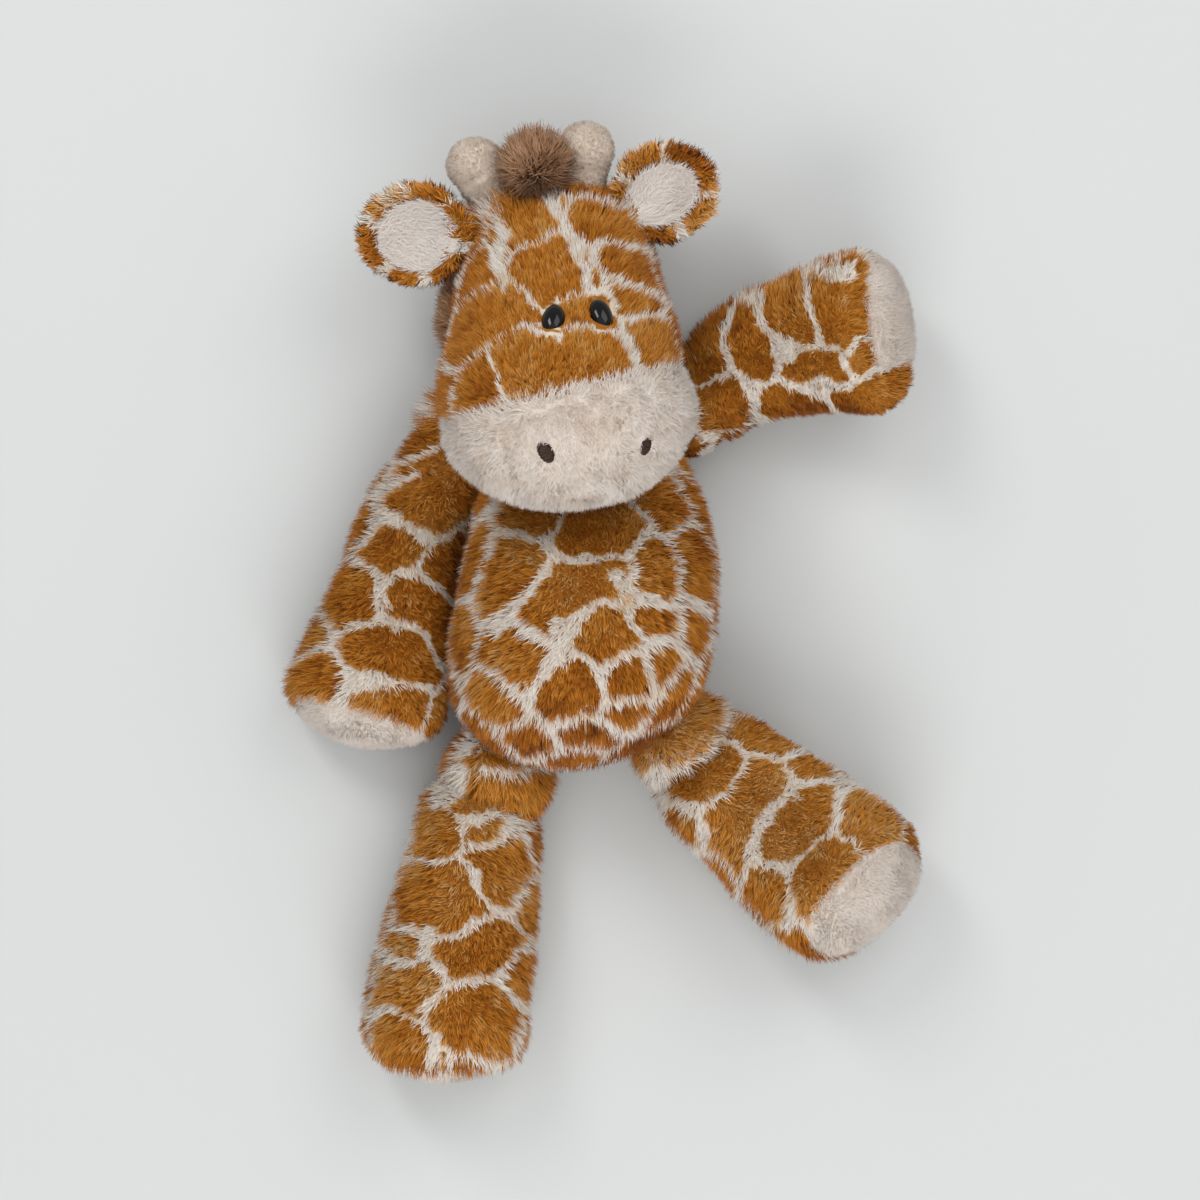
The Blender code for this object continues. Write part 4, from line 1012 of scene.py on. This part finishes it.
# Horns: each one's turn and lean, and how far its knob is raised
HORNS = {"left": (125, 12, 1.4), "right": (78, 12, -1.2)}
HORN_KNOB = 9.4
for order, (side_name, (turn, lean, raised)) in enumerate(HORNS.items()):
    name = "horn_" + side_name
    rng = np.random.default_rng(160 + order)
    way = heading(turn, lean)
    root = Vector(head_form.tree.ray_cast(SKULL, way)[0])
    profile = [(-4.0, 9.3), (0.0, 9.1), (3.5, 8.7), (6.5, 8.5), (9.5, 8.6), (11.5, 8.9), (13.3 + raised, 9.2)]
    for angle in map(math.radians, range(-18, 90, 12)):
        profile.append((16.1 + raised + HORN_KNOB * math.sin(angle), HORN_KNOB * math.cos(angle)))
    bm = bmesh.new()
    turning = Vector((0, 0, 1)).rotation_difference(way).to_matrix()
    rows = [[bm.verts.new(root + turning @ (Vector((radius * math.cos(angle), radius * math.sin(angle), along)) * MM))
             for angle in turns(36)] for along, radius in profile]
    for a, b in zip(rows, rows[1:]):
        for step in range(len(a)):
            after = (step + 1) % len(a)
            bm.faces.new((a[step], a[after], b[after], b[step]))
    bm.faces.new(rows[-1])
    mesh = new_mesh(name, bm, turn_out=True)
    surface = add_lumps(mesh, 0.35, 7, 170 + order)
    make_cloth(name, mesh, horn_velour, "head", 0.5 + 0.2 * field(surface.points, 3 * MM, 175), (name,))
    roots, normals = surface.scatter(HAIR_PER_MM2, rng)
    comb = np.array(way) + 0.4 * rng.normal(size=(len(roots), 3))
    make_pile(name, roots, normals, comb, lumpy_tones(roots, rng, 0.5, 0.15, 5, 176, 0.2), horn_velour, "head", rng,
              length=1.5 * MM, lean=66, width=0.44 * MM, spread=50, clump=0.6, clump_size=1.0 * MM, mottle=0.16)

# Forelock
rng = np.random.default_rng(181)
way = heading(101, 26)
crown = Vector(head_form.tree.ray_cast(SKULL, way)[0])
bm = bmesh.new()
bmesh.ops.create_uvsphere(bm, u_segments=40, v_segments=24, radius=1.0)
turning = Vector((0, 1, 0)).rotation_difference(way).to_matrix().to_4x4()
bmesh.ops.transform(bm, matrix=Matrix.Translation(crown + way * (11.6 * MM)) @ turning
                    @ Matrix.Diagonal((6.8 * MM, 6.2 * MM, 5.5 * MM, 1)), verts=bm.verts)
tuft = new_mesh("forelock_cloth", bm)
surface = add_lumps(tuft, 0.5, 5, 182)
make_cloth("forelock", tuft, hair, "head", 0.6 + 0.2 * field(surface.points, 4 * MM, 183), ("forelock",))
roots, normals = surface.scatter(5.0, rng)
comb = np.array(way) + 0.35 * rng.normal(size=(len(roots), 3))
make_pile("forelock", roots, normals, comb, lumpy_tones(roots, rng, 0.42, 0.2, 6, 184, 0.16), hair, "head", rng,
          length=9.0 * MM, lean=66, spread=30, swirl=10, clump=0.6, clump_size=1.8 * MM, mottle=0.10, bent=True)

# Mane
rng = np.random.default_rng(191)
band = nodes["mane"].data.copy()
surface = Surface(band)
settled = np.empty_like(surface.points)
for at, point in enumerate(surface.points):
    skin = np.array(head_form.tree.find_nearest(Vector(point))[0])
    settled[at] = skin + (point - skin) * 0.4
band.vertices.foreach_set("co", settled.ravel())
band.update()
for layer in list(band.uv_layers):
    band.uv_layers.remove(layer)
surface = Surface(band)
make_cloth("mane", band, hair, "head", 0.6 + 0.2 * field(surface.points, 4 * MM, 192), ("mane",))
roots, normals = surface.scatter(HAIR_PER_MM2, rng)
away = unit(roots - np.array(SKULL))
roots, normals, away = keep_some((normals * away).sum(1) > -0.2, roots, normals, away)
comb = np.array((-0.3, 0.4, -0.4)) + 0.3 * rng.normal(size=(len(roots), 3))
make_pile("mane", roots, unit(normals + away), comb, lumpy_tones(roots, rng, 0.5, 0.2, 6, 193, 0.16), hair, "head",
          rng, length=7.5 * MM, lean=55, spread=25, clump=0.5, clump_size=2.0 * MM, mottle=0.10, bent=True)


# Eyes and nostrils
DOME_RINGS, DOME_SPOKES = 22, 56


def dome(name, centre, half_width, half_height, bulge, lift, upright, ribs=0, tilt=0.0):
    """A domed oval on the face, ribbed across where it is stitched and turned in its plane by tilt.

    It lies flat on the face where upright is 0, and faces straight up where that is large.
    """
    near, normal, _, _ = head_tree.find_nearest(centre)
    if normal.z < 0:
        normal = -normal
    normal = (normal + Vector((0, 0, upright))).normalized()
    near = near - Vector((normal.x, normal.y, 0)) * (lift + 0.5 * bulge)
    across = Vector((0, 1, 0)).cross(normal).normalized()
    upward = normal.cross(across)
    across, upward = (across * math.cos(tilt) + upward * math.sin(tilt),
                      upward * math.cos(tilt) - across * math.sin(tilt))
    rows = []
    for ring in range(DOME_RINGS + 1):
        r = math.sin(0.5 * math.pi * ring / DOME_RINGS)
        row = []
        for angle in turns(DOME_SPOKES if ring else 1):
            x, y = r * math.cos(angle), r * math.sin(angle)
            height = bulge * math.sqrt(max(1 - r * r, 0.0))
            if ribs:
                height += 0.34 * MM * abs(math.sin(ribs * y + 0.9 * x)) * (1 - r ** 6)
                x *= 1 + 0.07 * math.sin(ribs * 1.7 * y)
            row.append(near + across * (x * half_width) + upward * (y * half_height) + normal * (height + lift))
        rows.append(row)
    rows.append([point - normal * (bulge + lift) for point in rows[-1]])
    bm = bmesh.new()
    bm.faces.new(skin_rows(bm, rows))
    mesh = new_mesh(name, bm, turn_out=True)
    mesh.shade_smooth()
    mesh.set_sharp_from_angle(angle=math.radians(60))
    return mesh


NOSTRIL_SIZES = ((2.5 * MM, 3.9 * MM), (1.9 * MM, 3.1 * MM))
for side_name, eye, nostril, size, eye_tilt, tilt in zip(
        ("left", "right"), eyes, nostrils, NOSTRIL_SIZES, (-0.12, 0.2), (0.5, -0.25)):
    eye_mesh = dome("eye", eye, 3.9 * MM, 6.1 * MM, 2.9 * MM, 0.9 * MM, 1.0, tilt=eye_tilt)
    add_piece("eye_" + side_name + "_dome", eye_mesh, eye_black, "head", ("eye_" + side_name,))
    stitches = dome("nostril", nostril, *size, 0.8 * MM, 0.9 * MM, 1.5, ribs=11, tilt=tilt)
    add_piece("nostril_" + side_name + "_stitches", stitches, thread_brown, "head", ("nostril_" + side_name,))
    washer = nodes["eye_washer_" + side_name]
    washer.data.materials.clear()
    washer.data.materials.append(washer_white)


# Floor, lights and sky
PAPER = linear(200, 202, 201)
PAPER_DIMMED = (*(0.99 * part for part in PAPER[:3]), 1.0)
bm = bmesh.new()
bmesh.ops.create_grid(bm, x_segments=8, y_segments=8, size=5.0)
paper = plain_material("floor_paper", PAPER_DIMMED, PAPER, 1 / 6, 0.9, specular=0.1, detail=2.0)
floor = link("floor", new_mesh("floor", bm), paper)


def add_lamp(name, place, aim, wide, deep, power):
    lamp_data = bpy.data.lights.new(name, "AREA")
    lamp_data.shape = "RECTANGLE"
    lamp_data.size, lamp_data.size_y, lamp_data.energy = wide, deep, power
    lamp = bpy.data.objects.new(name, lamp_data)
    bpy.context.scene.collection.objects.link(lamp)
    lamp.location = place
    lamp.rotation_euler = (Vector(aim) - Vector(place)).to_track_quat("-Z", "Y").to_euler()


add_lamp("overhead", (0.0, 0.1, 2.1), (0, 0.02, 0.03), 2.2, 2.2, 6.0)
add_lamp("key_left", (-0.62, 0.90, 1.1), (0, 0.06, 0.06), 0.36, 0.66, 6.6)
add_lamp("key_right", (0.70, 0.85, 1.1), (0, 0.06, 0.06), 0.95, 0.85, 6.0)
add_lamp("low_fill", (0.1, -1.5, 1.2), (0, 0.02, 0.03), 1.6, 0.8, 19.0)

world = bpy.data.worlds.new("studio")
bpy.context.scene.world = world
world.use_nodes = True
world.node_tree.nodes["Background"].inputs["Color"].default_value = (0.97, 0.98, 0.99, 1.0)
world.node_tree.nodes["Background"].inputs["Strength"].default_value = 0.57
bpy.context.scene.view_settings.view_transform = "Standard"

bpy.context.view_layer.update()
